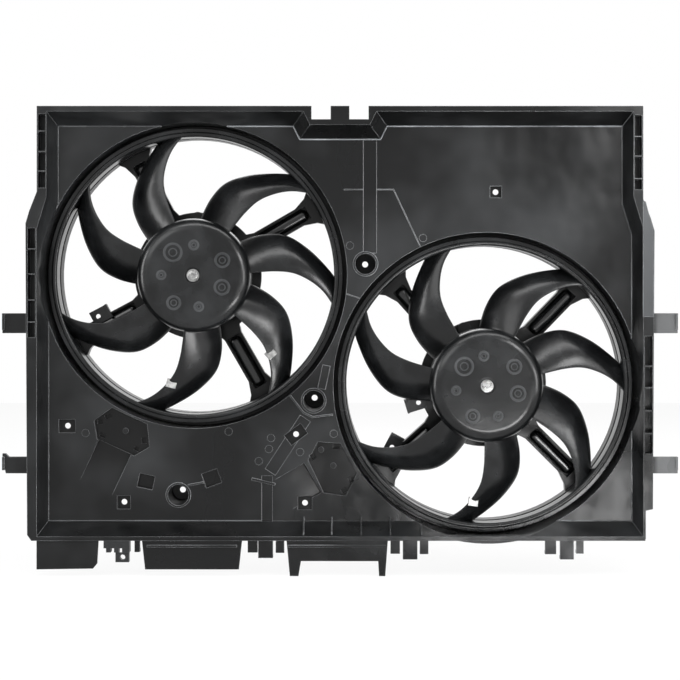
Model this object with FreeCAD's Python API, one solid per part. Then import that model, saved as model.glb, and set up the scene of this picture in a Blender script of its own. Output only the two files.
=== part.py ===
import FreeCAD
import Part

import math
import os

# Twin radiator fan assembly: a moulded shroud with two banded seven-blade fans and their motors.
# X runs right and Z up as seen from the radiator, Y runs back towards the engine.
# Sizes are millimetres. Y is counted from the radiator face of the shroud's rim.

# Where the two fans sit
LEFT_FAN_Z = 77.7
RIGHT_FAN_Z = -55.8
OPENING_R = 186.0
DUCT_WALL = 3.0
DUCT_GAP = 1.3
FAN_PITCH = 2 * (OPENING_R + DUCT_WALL) + DUCT_GAP
FAN_X = math.sqrt(FAN_PITCH ** 2 - (LEFT_FAN_Z - RIGHT_FAN_Z) ** 2) / 2

# Shroud outline and tray
TOP_MARGIN = 17.3
BOTTOM_MARGIN = -0.8
SIDE_MARGIN = 0.5
SHOULDER_STEP = 13.5
SHOULDER_BELOW_TOP = 103.0
TOP_Z = LEFT_FAN_Z + OPENING_R + TOP_MARGIN
BOTTOM_Z = RIGHT_FAN_Z - OPENING_R - BOTTOM_MARGIN
UPPER_HALF_WIDTH = FAN_X + OPENING_R + SIDE_MARGIN
LOWER_HALF_WIDTH = UPPER_HALF_WIDTH + SHOULDER_STEP
SHOULDER_TOP_Z = TOP_Z - SHOULDER_BELOW_TOP
SHOULDER_DROP = 38.0
RIGHT_SHOULDER_DROP = 9.0
SIDE_TAPER = 2.0
FOOT_HEIGHT = 38.0
FOOT_STEP = 11.0
CORNER_CUT = 7.0
RIM_THICKNESS = 3.0
FLOOR_DEPTH = 28.0
FLOOR_THICKNESS = 3.0
WALL_THICKNESS = 3.0
RIM_WIDTH = 6.5
WALL_SLOPE_WIDTH = 15.0
SIDE_SLOPE_WIDTH = 9.0
RECESS_HALF_WIDTH = 36.0
RECESS_DROP = 16.0
RECESS_SIDE = 8.0
NOTCH_WIDTH = 23.0
CENTRE_TAB_WIDTH = 22.5

# Ribbed channels along both sides
RAIL_WIDTH = 11.5
RAIL_DEPTH = 18.0
RAIL_WALL = 1.6
RAIL_FLOOR = 2.5
RAIL_RIB = 1.2
RAIL_SPREAD = 6.0
COVER_EDGE = 1.5
COVER_LOW_Z = 28.0
STRIP_THICKNESS = 2.0
LEFT_UPPER_RIBS = (272.0, 250.8, 226.3, 202.8, 182.0)
LEFT_LOWER_RIBS = (135.0, 109.2, 79.2, 48.0, 21.6, 2.4)
RIGHT_UPPER_RIBS = (270.6, 244.3, 220.8, 193.7, 180.0)
RIGHT_LOWER_RIBS = (5.3, -31.6, -57.4, -85.0, -112.2, -136.8)

# Fans: one moulding, mounted twice
TIP_GAP = 5.0
LIP_WIDTH = 11.0
LIP_R = OPENING_R - TIP_GAP
BAND_INNER_R = LIP_R - LIP_WIDTH
BAND_THICKNESS = 2.6
BAND_FRONT_Y = 42.0
BAND_REAR_Y = 67.0
LIP_THICKNESS = 2.8
LIP_ROUND = 5.0
HUB_R = 69.0
HUB_FRONT_Y = 8.0
HUB_REAR_Y = 63.0
HUB_ROUND = 9.0
HUB_WALL = 3.0
BLADE_START_LEFT = 125.5
BLADE_START_RIGHT = 134.2
BLADE_GAPS = (59.0, 48.0, 47.0, 56.0, 50.0, 56.0)
BLADE_STATIONS = (0.0, 0.136, 0.292, 0.496, 0.69, 0.866, 1.0)
REAR_EDGE_DEG = (19.9, 16.6, 12.8, 6.5, -3.5, -12.9, -19.3)
FRONT_EDGE_DEG = (-16.0, -15.6, -15.6, -17.0, -20.8, -25.4, -30.2)
BLADE_ROOT_R = HUB_R - 1.0
BLADE_TIP_R = BAND_INNER_R + 0.8
BLADE_EDGE_RADII = [BLADE_ROOT_R + (BLADE_TIP_R - BLADE_ROOT_R) * share for share in BLADE_STATIONS]
BLADE_ROOT_FRONT_Y = 25.0
BLADE_TIP_FRONT_Y = 44.5
BLADE_ROOT_REAR_Y = 61.0
BLADE_TIP_REAR_Y = 65.5
BLADE_THICKNESS = 2.8
BLADE_EDGE_THICKNESS = 1.2
BLADE_CAMBER = 4.5
CHORD_STEPS = 3
HUB_RIB_THICKNESS = 2.0
HUB_RIB_HEIGHT = 8.0

# Fan duct, rear ring, arms and motor seat
DUCT_REAR_Y = 95.0
REAR_RING_STEP = 16.0
REAR_RING_INNER_R = OPENING_R - REAR_RING_STEP
REAR_RING_Y = 74.0
ARM_WIDTH = 23.0
ARM_WALL = 3.0
ARM_FRONT_Y = 80.0
ARM_FLARE = 16.0
ARM_ROOT_FLARE = 4.0
ARM_OVERLAP = 4.0
LEFT_ARM_DEG = (30.0, 118.0, 208.0, 300.0)
RIGHT_ARM_DEG = (46.0, 132.0, 222.0, 315.0)
SEAT_OUTER_R = 79.0
SEAT_INNER_R = 62.0
SEAT_THICKNESS = 8.0
LEFT_BOSS_DEG = 90.0
RIGHT_BOSS_DEG = 109.0
BOSS_INSET = 8.0
BOSS_CIRCLE_R = SEAT_OUTER_R - BOSS_INSET
BOSS_R = 8.5
BOSS_LENGTH = 14.0
BOSS_SKIN = 1.5
EAR_ROOM = 3.0

# Motor
CAN_R = 58.0
CAN_WALL = 2.0
CAN_FRONT_Y = 38.0
NOSE_LENGTH = 6.0
NOSE_WALL = 2.5
SHAFT_R = 5.0
SHAFT_FRONT_Y = 14.0
FRONT_BEARING_R = 13.0
REAR_BEARING_R = 10.0
BEARING_WIDTH = 6.0
MAGNET_THICKNESS = 6.0
MAGNET_SPAN_DEG = 70.0
MAGNET_LENGTH = 36.0
AIR_GAP = 1.5
CORE_LENGTH = 32.0
CORE_TEETH = 12
SLOT_WIDTH = 3.0
SLOT_DEPTH = 12.0
TOOTH_TIP = 2.5
END_TURN_LENGTH = 6.0
COMMUTATOR_R = 14.0
COMMUTATOR_LENGTH = 10.0
COVER_FLANGE_THICKNESS = 3.0
COVER_DOME_R = 53.0
COVER_DOME_DEPTH = 12.0
COVER_WALL = 2.5
BRUSH_PLATE_THICKNESS = 2.0
BRUSH_WIDTH = 7.0
BRUSH_LENGTH = 13.0
BRUSH_HEIGHT = 5.0
SPRING_STRIP = 0.8
SPRING_R = 4.0
MOTOR_SCREW_R = 2.5
MOTOR_SCREW_HEAD_R = 4.6
MOTOR_SCREW_HEAD = 3.2
MOTOR_SCREW_LENGTH = 13.0
SOCKET_WIDTH = 24.0
SOCKET_LENGTH = 24.0
SOCKET_WALL = 2.2

# Hub insert and centre screw
INSERT_R = 8.0
BUSH_WALL = 7.0
INSERT_REAR_Y = 30.0
SCREW_HEAD_R = 7.8
SCREW_HEAD_HEIGHT = 4.6
SCREW_RECESS_R = 9.6
SCREW_RECESS_DEPTH = 4.0
SCREW_SHANK_R = 3.0
SCREW_DRIVE_R = 2.8
SCREW_LENGTH = 16.0

# Wire guides: angle and reach from the fan's axis to the plate's middle, and how far the plate is turned
GUIDE_LENGTH = 25.0
GUIDE_WIDTH = 18.0
GUIDE_THICKNESS = 3.0
GUIDE_POST = 6.0
GUIDE_HOLE_R = 3.0
LEFT_GUIDES = ((202.0, REAR_RING_INNER_R - 40.0, 28.0),)
RIGHT_GUIDES = ((214.5, REAR_RING_INNER_R - 35.0, 62.0), (197.0, SEAT_OUTER_R + 9.0, 197.0))

# Fits
RUNNING_FIT = 0.04
SEAT_FIT = 0.05

# Balance clips
CLIP_LENGTH = 11.0
CLIP_WIDTH = 10.5
CLIP_SHEET = 0.7
CLIP_GAP = 0.4
# Blade counted from the first, and radius
LEFT_CLIPS = ((3, BAND_INNER_R - 37.0), (4, BAND_INNER_R - 35.0))
RIGHT_CLIPS = ((4, BAND_INNER_R - 26.0),)

# Wiring clip on the bottom edge
WIRING_CLIP_X = (-283.8, -252.6)
WIRING_CLIP_DEPTH = 12.0
WIRING_CLIP_HEIGHT = 14.0
WIRING_LUG = 12.0
WIRING_HOLE_R = 3.2

# Mounting bolt cups in the floor: x, z
BOLT_CUPS = {"left": (-196.8, -189.3), "middle": (-32.2, -74.6), "centre": (30.9, 91.9)}
BOLT_CUP_R = 12.6
BOLT_CUP_WALL = 2.6
BOLT_CUP_DEPTH = 54.0
BOLT_HOLE_R = 3.7
CUP_RIM_RISE = 1.5

# Small screw holes in square pockets: x, z, width, height, turn
PANEL_HOLES = (
    (-332.1, -105.5, 20.0, 16.0, 0.0),
    (-263.2, -198.3, 16.0, 16.0, 0.0),
    (-42.9, -199.5, 17.0, 16.0, 0.0),
    (-53.8, -115.8, 25.0, 15.0, 36.7),
    (189.5, 179.4, 14.0, 14.0, 0.0),
)
PANEL_HOLE_R = 3.5
POCKET_DEPTH = 5.0
POCKET_WALL = 2.0

# Pockets for a control unit's two lids: outlines, sloped pockets, notches and bosses, all x and z
HEX_POCKETS = (
    ((-299.3, -98.8), (-277.6, -83.2), (-234.8, -103.1), (-232.2, -131.0), (-250.8, -142.0), (-295.9, -121.3)),
    ((-27.1, -124.7), (0.8, -126.7), (20.5, -163.0), (7.0, -190.5), (-20.2, -186.9), (-38.9, -147.1)),
)
RAMP_POCKETS = (((-285.5, -155.8), 43.0, 54.0, 65.0), ((-51.4, -178.8), 41.5, 41.0, 30.0))
RAMP_DEPTH = 5.5
CLIP_SOCKETS = (((-236.2, -173.0), 19.0, 17.0, -12.0), ((-156.5, -169.1), 20.0, 18.0, 20.0))
NOTCHES = (
    (-293.0, -100.8, 6.0, 6.0, 0.0), (-282.5, -94.5, 8.0, 5.0, 20.0), (-289.5, -117.4, 7.0, 5.0, -25.0),
    (-239.2, -123.8, 6.0, 7.0, 0.0), (-248.2, -133.9, 6.0, 5.0, -25.0), (-33.4, -143.0, 6.0, 7.0, 25.0),
    (-5.0, -130.8, 8.0, 5.0, 0.0), (4.6, -184.6, 7.0, 6.0, 30.0), (13.2, -171.4, 6.0, 7.0, 25.0),
)
NOTCH_DEPTH = 9.0
POCKET_BOSSES = ((-261.4, -111.7), (-8.4, -153.9), (-23.3, -134.5))
POCKET_BOSS_R = 3.6
POCKET_BOSS_RISE = 2.5

# Thin ribs and shallow channels in the floor
THIN_RIDGE = ((4.7, 182.3), (64.9, 182.3), (97.9, 112.0))
CUP_FENCE = ((-60.2, -69.3), (-44.3, -89.2), (-33.8, -94.4), (-10.0, -91.7))
SOCKET_RIDGE = ((-184.0, -177.3), (-167.0, -174.2))
CHANNEL_RIDGE = ((-106.0, -170.0), (-80.5, -176.0))
SHORT_RIDGE = ((8.5, 55.0), (23.0, 50.2))
OBLONG = ((-19.6, -45.9), 9.5, 29.0, -12.0)
OBLONG_RISE = 3.0
FLOOR_CHANNELS = (
    ((36.3, 181.0), 16.1, 152.0, 0.0), ((-88.9, -205.5), 13.1, 79.0, 0.0), ((-63.7, -128.8), 15.0, 78.0, -33.2),
)
CHANNEL_DEPTH = 1.2
GUSSETS = (-44.0, -10.0, 25.4, 60.6, 98.0)
GUSSET_RISE = 3.5

# Side tabs and lower flaps
TAB_LENGTH = 29.5
TAB_REACH = LOWER_HALF_WIDTH + TAB_LENGTH
TAB_THICKNESS = 4.0
TAB_FRONT_Y = 9.0
TAB_HEIGHT = 24.0
TAB_ROOT = 4.0
TAB_HOOK = 4.0
TAB_LIP = 2.5
UPPER_TAB_Z = 20.0
LOWER_TAB_Z = -151.0
FLAP_THICKNESS = 3.0
FLAP_LENGTH = 35.0
LEG_LENGTH = 43.0
FLAP_FRONT_Y = 4.0
FLAP_INSET = 12.5
CORNER_FLAP_WIDTH = 75.0
FLANGE_DEPTH = 13.0
SKIRT_X = (-239.0, -117.0)
SKIRT_TAPER = 4.6
BAR_X = (-65.0, 58.0)
BAR_LENGTH = 25.0
LEG_WIDTH = 7.5
STEP_RISE = 2.5
STEP_DROP = 8.0
HOOK_THICKNESS = 5.0
HOOK_BARB = 3.0
# Snap hooks: x from, x to, length below the edge
SNAP_HOOKS = (
    (-111.0, -99.0, 14.6), (-98.4, -80.6, 21.2), (-77.4, -67.0, 15.0), (60.7, 72.0, 16.0), (75.6, 93.0, 22.8),
    (96.0, 106.2, 16.4), (246.6, 259.8, 16.5), (264.6, 281.0, 22.8), (284.0, 292.8, 15.8), (-247.0, -240.5, 14.0),
)

vector = FreeCAD.Vector


def prism(points, front, back):
    """A straight block from an outline of x, z points."""
    corners = [vector(x, front, z) for x, z in points]
    outline = Part.makePolygon(corners + [corners[0]])
    return Part.Face(outline).extrude(vector(0, back - front, 0))


def block(x0, x1, front, back, z0, z1):
    return Part.makeBox(x1 - x0, back - front, z1 - z0, vector(x0, front, z0))


def disc(centre, radius, front, back):
    return Part.makeCylinder(radius, back - front, vector(centre[0], front, centre[1]), vector(0, 1, 0))


def tube(centre, outer, inner, front, back):
    return disc(centre, outer, front, back).cut(disc(centre, inner, front - 1, back + 1))


def turned(centre, profile):
    """A solid of revolution about Y from r, y points; a third value rounds that corner."""
    edges = []
    count = len(profile)
    corners = [vector(p[0], p[1], 0) for p in profile]
    starts = []
    ends = []
    for i, point in enumerate(profile):
        here = corners[i]
        size = point[2] if len(point) > 2 else 0.0
        before = corners[i - 1] - here
        after = corners[(i + 1) % count] - here
        before.normalize()
        after.normalize()
        starts.append(here + before * size)
        ends.append(here + after * size)
    for i, point in enumerate(profile):
        if len(point) > 2:
            here = corners[i]
            toward = starts[i] + ends[i] - here * 2
            bulge = toward.Length * (1 - 1 / math.sqrt(2))
            toward.normalize()
            middle = here + toward * bulge
            edges.append(Part.Arc(starts[i], middle, ends[i]).toShape())
        edges.append(Part.makeLine(ends[i], starts[(i + 1) % count]))
    face = Part.Face(Part.Wire(edges))
    solid = face.revolve(vector(0, 0, 0), vector(0, 1, 0), 360)
    solid.translate(vector(centre[0], 0, centre[1]))
    return solid


def spun(shape, centre, degrees):
    """A copy turned about the axis through centre, anticlockwise as seen from the radiator."""
    copy = shape.copy()
    copy.rotate(vector(centre[0], 0, centre[1]), vector(0, -1, 0), degrees)
    return copy


def polar(centre, radius, degrees):
    angle = math.radians(degrees)
    return (centre[0] + radius * math.cos(angle), centre[1] + radius * math.sin(angle))


def merged(shapes):
    whole = shapes[0].multiFuse(shapes[1:])
    return whole.removeSplitter()


def curve_value(radii, values, radius):
    """A smooth value between measured stations."""
    last = len(radii) - 2
    spot = max(i for i in range(last + 1) if radius >= radii[i] or i == 0)
    span = radii[spot + 1] - radii[spot]
    share = (radius - radii[spot]) / span

    def slope(i):
        low = max(i - 1, 0)
        high = min(i + 1, last + 1)
        return (values[high] - values[low]) / (radii[high] - radii[low])

    start = slope(spot) * span
    finish = slope(spot + 1) * span
    rise = values[spot + 1] - values[spot]
    curve = start + finish - 2 * rise
    bend = 3 * rise - 2 * start - finish
    return values[spot] + share * (start + share * (bend + share * curve))


LEFT_FAN = (-FAN_X, LEFT_FAN_Z)
RIGHT_FAN = (FAN_X, RIGHT_FAN_Z)
SIDES = {
    "left": (LEFT_FAN, BLADE_START_LEFT, LEFT_ARM_DEG, LEFT_BOSS_DEG),
    "right": (RIGHT_FAN, BLADE_START_RIGHT, RIGHT_ARM_DEG, RIGHT_BOSS_DEG),
}
FLOOR_BACK_Y = FLOOR_DEPTH + FLOOR_THICKNESS
RING_OUTER_R = REAR_RING_INNER_R + DUCT_WALL
SEAT_BACK_Y = ARM_FRONT_Y + SEAT_THICKNESS
RECESS_Z = TOP_Z - RECESS_DROP


def side_edge(side):
    """The shroud's outer edge on one side, from the top down; the right shoulder sits lower."""
    top = SHOULDER_TOP_Z if side < 0 else SHOULDER_TOP_Z - RIGHT_SHOULDER_DROP
    edge = [
        (UPPER_HALF_WIDTH, TOP_Z), (UPPER_HALF_WIDTH, top),
        (LOWER_HALF_WIDTH - SHOULDER_STEP / 3, top - SHOULDER_DROP * 0.6),
        (LOWER_HALF_WIDTH, top - SHOULDER_DROP), (LOWER_HALF_WIDTH - SIDE_TAPER, BOTTOM_Z + FOOT_HEIGHT),
    ]
    return [(side * x, z) for x, z in edge]


def rim_outline():
    notch_outer = CENTRE_TAB_WIDTH / 2 + NOTCH_WIDTH
    notch_inner = CENTRE_TAB_WIDTH / 2
    foot = LOWER_HALF_WIDTH - FOOT_STEP
    upper = [
        (-notch_outer, TOP_Z), (-notch_outer, RECESS_Z), (-notch_inner, RECESS_Z), (-notch_inner, TOP_Z),
        (notch_inner, TOP_Z), (notch_inner, RECESS_Z), (notch_outer, RECESS_Z), (notch_outer, TOP_Z),
    ]
    right = side_edge(1) + [(foot, BOTTOM_Z + FOOT_HEIGHT - SIDE_TAPER), (foot, BOTTOM_Z)]
    left = [(-LOWER_HALF_WIDTH + CORNER_CUT, BOTTOM_Z), (-LOWER_HALF_WIDTH + SIDE_TAPER, BOTTOM_Z + CORNER_CUT)]
    return upper + right + left + side_edge(-1)[-2::-1]


def tray_outline(step):
    """The tray's inside edge: step 0 at the rim, step 1 at the floor."""
    top = TOP_Z - RIM_WIDTH - step * WALL_SLOPE_WIDTH
    low_top = top - RECESS_DROP
    bottom = BOTTOM_Z + RIM_WIDTH - 1.5 + step * WALL_SLOPE_WIDTH
    upper_x = UPPER_HALF_WIDTH - RAIL_WIDTH - step * SIDE_SLOPE_WIDTH
    lower_x = LOWER_HALF_WIDTH - RAIL_WIDTH - 2 - step * SIDE_SLOPE_WIDTH
    drop = step * WALL_SLOPE_WIDTH
    recess = RECESS_HALF_WIDTH + step * 13
    high = SHOULDER_TOP_Z - 6 - drop / 2
    low = high - SHOULDER_DROP
    return [
        (-upper_x, top), (-recess - RECESS_SIDE, top), (-recess, low_top), (recess, low_top),
        (recess + RECESS_SIDE, top), (upper_x, top), (upper_x, high), (lower_x, low),
        (lower_x, bottom), (-lower_x, bottom), (-lower_x, low), (-upper_x, high),
    ]


def tray_solid(front_outline, back_outline, front, back):
    wires = []
    for outline, depth in ((front_outline, front), (back_outline, back)):
        corners = [vector(x, depth, z) for x, z in outline]
        wires.append(Part.makePolygon(corners + [corners[0]]))
    return Part.makeLoft(wires, True, True)


def grown(outline, amount):
    """The same outline moved out by amount, corner for corner."""
    count = len(outline)
    result = []
    for i, (x, z) in enumerate(outline):
        px, pz = outline[i - 1]
        nx, nz = outline[(i + 1) % count]
        a = math.atan2(z - pz, x - px)
        b = math.atan2(nz - z, nx - x)
        half = (b - a) / 2
        half = math.atan2(math.sin(half), math.cos(half))
        reach = amount / math.cos(half)
        turn = a + half + math.pi / 2
        result.append((x + reach * math.cos(turn), z + reach * math.sin(turn)))
    return result


def side_channels():
    """Ribbed channels that stiffen both sides; returns what is added and what is cut."""
    added = []
    removed = []
    channel_back = RAIL_DEPTH - RAIL_FLOOR
    for side in (-1, 1):
        outer = side_edge(side)
        inner = []
        for x, z in reversed(outer):
            width = RAIL_WIDTH + (RAIL_SPREAD if abs(x) > UPPER_HALF_WIDTH else 0)
            inner.append((x - side * width, z))
        added.append(prism(outer + inner, 0, RAIL_DEPTH))
        upper = LEFT_UPPER_RIBS if side < 0 else RIGHT_UPPER_RIBS
        lower = LEFT_LOWER_RIBS if side < 0 else RIGHT_LOWER_RIBS
        for ribs, edge in ((upper, UPPER_HALF_WIDTH), (lower, LOWER_HALF_WIDTH - SIDE_TAPER / 2)):
            for high, low in zip(ribs, ribs[1:]):
                near = edge - RAIL_WIDTH + RAIL_WALL / 2
                far = edge - RAIL_WALL
                xs = sorted((side * near, side * far))
                removed.append(block(xs[0], xs[1], -1, channel_back, low + RAIL_RIB / 2, high - RAIL_RIB / 2))
    return added, removed


def side_cover(clearance):
    """Grey strip let into the right side's channel."""
    shoulder = side_edge(1)
    inner = UPPER_HALF_WIDTH - clearance
    outer = LOWER_HALF_WIDTH - COVER_EDGE + clearance
    low = COVER_LOW_Z - clearance
    top = shoulder[1][1] - COVER_EDGE + clearance
    outline = [(inner, low), (inner, top), (inner + COVER_EDGE * 2, top - COVER_EDGE),
               (outer, shoulder[3][1]), (outer, low)]
    return prism(outline, 0 if clearance == 0 else -1, STRIP_THICKNESS)


def side_tabs():
    """Four flat tabs that slide into the radiator's side brackets, each with a turned-up end."""
    tabs = []
    back = TAB_FRONT_Y + TAB_THICKNESS
    for side in (-1, 1):
        for z, height in ((UPPER_TAB_Z, TAB_HEIGHT), (LOWER_TAB_Z, TAB_HEIGHT - 4)):
            low = z - height / 2
            high = z + height / 2
            root = LOWER_HALF_WIDTH - TAB_ROOT
            tip = TAB_REACH
            outline = [(root, low), (tip - TAB_HOOK, low), (tip, high), (tip, high + TAB_HOOK),
                       (tip - TAB_HOOK, high + TAB_HOOK), (tip - TAB_HOOK * 2, high), (root, high)]
            if side > 0 or z > 0:
                outline = [(root, low), (tip, low), (tip, high), (root, high)]
            tabs.append(prism([(side * x, spot) for x, spot in outline], TAB_FRONT_Y, back))
            xs = sorted((side * (tip - TAB_LIP), side * tip))
            tabs.append(block(xs[0], xs[1], TAB_FRONT_Y - TAB_LIP, back, low + TAB_HOOK, high))
    return tabs


def lower_flaps():
    """Flaps, the two-legged bar and the snap hooks along the bottom edge."""
    top = BOTTOM_Z + RIM_WIDTH
    low = BOTTOM_Z - FLAP_LENGTH
    leg_low = BOTTOM_Z - LEG_LENGTH
    back = FLAP_FRONT_Y + FLAP_THICKNESS
    edge = -LOWER_HALF_WIDTH + FLAP_INSET
    inner = edge + CORNER_FLAP_WIDTH
    cut = CORNER_CUT
    flap = prism([(edge, top), (inner, top), (inner - 2, low + cut), (inner - cut, low + 1), (edge, low)],
                 FLAP_FRONT_Y, back)
    flange = block(edge, edge + FLAP_THICKNESS, FLAP_FRONT_Y, back + FLANGE_DEPTH, low, top)
    pieces = [flap, flange]
    left, right = SKIRT_X
    pieces.append(prism([(left, top), (right, top), (right - SKIRT_TAPER, low), (left + SKIRT_TAPER, low)],
                        FLAP_FRONT_Y, back))
    pieces.append(block(left + cut, right - cut, FLAP_FRONT_Y - STEP_RISE, FLAP_FRONT_Y + 1,
                        BOTTOM_Z - STEP_DROP, BOTTOM_Z - STEP_DROP + STEP_RISE))
    left, right = BAR_X
    bar_low = BOTTOM_Z - BAR_LENGTH
    inset = SKIRT_TAPER
    pieces.append(prism([
        (left, top), (right, top), (right - inset + 1, leg_low), (right - inset + 1 - LEG_WIDTH, leg_low),
        (right - inset - LEG_WIDTH, bar_low), (left + inset + LEG_WIDTH + 6, bar_low),
        (left + inset + LEG_WIDTH + 3, leg_low), (left + inset, leg_low),
    ], FLAP_FRONT_Y, back))
    pieces.append(block(left + STEP_RISE, right - STEP_RISE, FLAP_FRONT_Y - STEP_RISE, FLAP_FRONT_Y + 1,
                        BOTTOM_Z - STEP_DROP, BOTTOM_Z - STEP_DROP + STEP_RISE))
    hook_front = FLAP_FRONT_Y - 1
    for x0, x1, drop in SNAP_HOOKS:
        hook_low = BOTTOM_Z - drop
        pieces.append(block(x0, x1, hook_front, hook_front + HOOK_THICKNESS, hook_low, top))
        pieces.append(block(x0, x1, hook_front, hook_front + HOOK_THICKNESS + HOOK_BARB, hook_low,
                            hook_low + HOOK_BARB + 1))
    return pieces


def bolt_cup(centre):
    """A deep round cup with a raised rim and a bolt hole in its bottom."""
    bottom = FLOOR_DEPTH + BOLT_CUP_DEPTH
    outer = disc(centre, BOLT_CUP_R + BOLT_CUP_WALL, FLOOR_DEPTH - CUP_RIM_RISE, bottom + BOLT_CUP_WALL)
    inner = disc(centre, BOLT_CUP_R, 0, bottom)
    hole = disc(centre, BOLT_HOLE_R, bottom - 1, bottom + BOLT_CUP_WALL + 1)
    return outer, inner.fuse(hole)


def ridge(points, width, height):
    """Raised ribs that follow a line on the floor."""
    ribs = []
    for (x0, z0), (x1, z1) in zip(points, points[1:]):
        length = math.hypot(x1 - x0, z1 - z0) + width
        turn = math.degrees(math.atan2(z1 - z0, x1 - x0))
        outline = rectangle(((x0 + x1) / 2, (z0 + z1) / 2), length, width, turn)
        ribs.append(prism(outline, FLOOR_DEPTH - height, FLOOR_DEPTH + FLOOR_THICKNESS / 2))
    return ribs


def ramp_pocket(centre, across, along, degrees):
    """A pocket whose bottom slopes from the floor down to its far end."""
    slope = math.degrees(math.atan2(RAMP_DEPTH, along))
    parts = []
    for grow, lead in ((POCKET_WALL, 0), (0, RAMP_DEPTH * 2)):
        back = grow + (FLOOR_THICKNESS if grow else 0)
        shape = block(-across / 2 - grow, across / 2 + grow, -lead, back, -grow, along + grow)
        shape.rotate(vector(0, 0, 0), vector(1, 0, 0), -slope)
        shape.translate(vector(0, FLOOR_DEPTH, -along / 2))
        shape.rotate(vector(0, 0, 0), vector(0, -1, 0), degrees - 90)
        shape.translate(vector(centre[0], 0, centre[1]))
        parts.append(shape)
    outer, inner = parts
    return outer.cut(block(-LOWER_HALF_WIDTH, LOWER_HALF_WIDTH, -FLOOR_DEPTH, FLOOR_DEPTH, BOTTOM_Z, TOP_Z)), inner


def gusset(x):
    """A small rib that props the bottom wall."""
    low = BOTTOM_Z + RIM_WIDTH
    high = low + WALL_SLOPE_WIDTH
    corners = [(RIM_THICKNESS, low - 1), (RIM_THICKNESS, low + GUSSET_RISE), (FLOOR_DEPTH, high + GUSSET_RISE),
               (FLOOR_DEPTH + 1, high - GUSSET_RISE)]
    points = [vector(x - RAIL_RIB / 2, y, z) for y, z in corners]
    face = Part.Face(Part.makePolygon(points + [points[0]]))
    return face.extrude(vector(RAIL_RIB, 0, 0))


def shallow_pocket(outline, depth, wall):
    """A pocket pressed into the floor, open to the front."""
    outer = prism(grown(outline, wall), FLOOR_DEPTH, FLOOR_DEPTH + depth + wall)
    inner = prism(outline, FLOOR_DEPTH - 1, FLOOR_DEPTH + depth)
    return outer, inner


def rectangle(centre, width, height, degrees):
    corners = []
    angle = math.radians(degrees)
    for sx, sz in ((-1, 1), (1, 1), (1, -1), (-1, -1)):
        x = sx * width / 2
        z = sz * height / 2
        corners.append((centre[0] + x * math.cos(angle) - z * math.sin(angle),
                        centre[1] + x * math.sin(angle) + z * math.cos(angle)))
    return corners


def floor_details():
    """What stands proud of the floor and what is pressed into it."""
    added = []
    removed = []
    for outline, width, height in ((THIN_RIDGE, 1.0, 0.8), (CUP_FENCE, 1.8, 3.0), (SOCKET_RIDGE, 2.0, 1.5),
                                   (CHANNEL_RIDGE, 3.0, 2.0), (SHORT_RIDGE, 1.0, 1.0)):
        added += ridge(outline, width, height)
    added.append(prism(rectangle(*OBLONG), FLOOR_DEPTH - OBLONG_RISE, FLOOR_BACK_Y))
    added += [gusset(x) for x in GUSSETS]
    for centre, width, height, degrees in FLOOR_CHANNELS:
        outline = rectangle(centre, width, height, degrees)
        removed.append(prism(outline, FLOOR_DEPTH - 1, FLOOR_DEPTH + CHANNEL_DEPTH))
    for centre in BOLT_CUPS.values():
        outer, inner = bolt_cup(centre)
        added.append(outer)
        removed.append(inner)
    pockets = [(rectangle(spec[0:2], *spec[2:5]), POCKET_DEPTH) for spec in PANEL_HOLES]
    pockets += [(outline, POCKET_DEPTH) for outline in HEX_POCKETS]
    pockets += [(rectangle(*spec), POCKET_DEPTH) for spec in CLIP_SOCKETS]
    pockets += [(rectangle(spec[0:2], *spec[2:5]), NOTCH_DEPTH) for spec in NOTCHES]
    for outline, depth in pockets:
        outer, inner = shallow_pocket(outline, depth, POCKET_WALL)
        added.append(outer)
        removed.append(inner)
    for spec in RAMP_POCKETS:
        outer, inner = ramp_pocket(*spec)
        added.append(outer)
        removed.append(inner)
    removed += [disc(spec[0:2], PANEL_HOLE_R, FLOOR_DEPTH, FLOOR_BACK_Y + POCKET_DEPTH) for spec in PANEL_HOLES]
    return added, removed


def shroud():
    """The moulded tray that holds both fans."""
    cavity = tray_solid(tray_outline(0), tray_outline(1), 0, FLOOR_DEPTH)
    front_cut = prism(tray_outline(0), -1, 0)
    body = tray_solid(grown(tray_outline(0), WALL_THICKNESS), grown(tray_outline(1), WALL_THICKNESS),
                      0, FLOOR_BACK_Y)
    channel_blocks, channel_cells = side_channels()
    added = [prism(rim_outline(), 0, RIM_THICKNESS)] + channel_blocks + side_tabs() + lower_flaps()
    for centre in (LEFT_FAN, RIGHT_FAN):
        added.append(disc(centre, OPENING_R + DUCT_WALL, RIM_THICKNESS - 1, FLOOR_BACK_Y))
    whole = body.multiFuse(added).cut(cavity).cut(front_cut)
    extra, pressed = floor_details()
    for centre in (LEFT_FAN, RIGHT_FAN):
        pressed.append(disc(centre, OPENING_R, RIM_THICKNESS, FLOOR_BACK_Y))
        pressed.append(disc(centre, OPENING_R + DUCT_WALL, FLOOR_BACK_Y, FLOOR_BACK_Y + BOLT_CUP_DEPTH + 10))
    whole = whole.multiFuse(extra)
    for tool in pressed + channel_cells + [side_cover(SEAT_FIT)]:
        whole = whole.cut(tool)
    bosses = [disc(centre, POCKET_BOSS_R, FLOOR_DEPTH + POCKET_DEPTH - POCKET_BOSS_RISE,
                   FLOOR_DEPTH + POCKET_DEPTH + POCKET_WALL) for centre in POCKET_BOSSES]
    return whole.multiFuse(bosses).removeSplitter()


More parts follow.
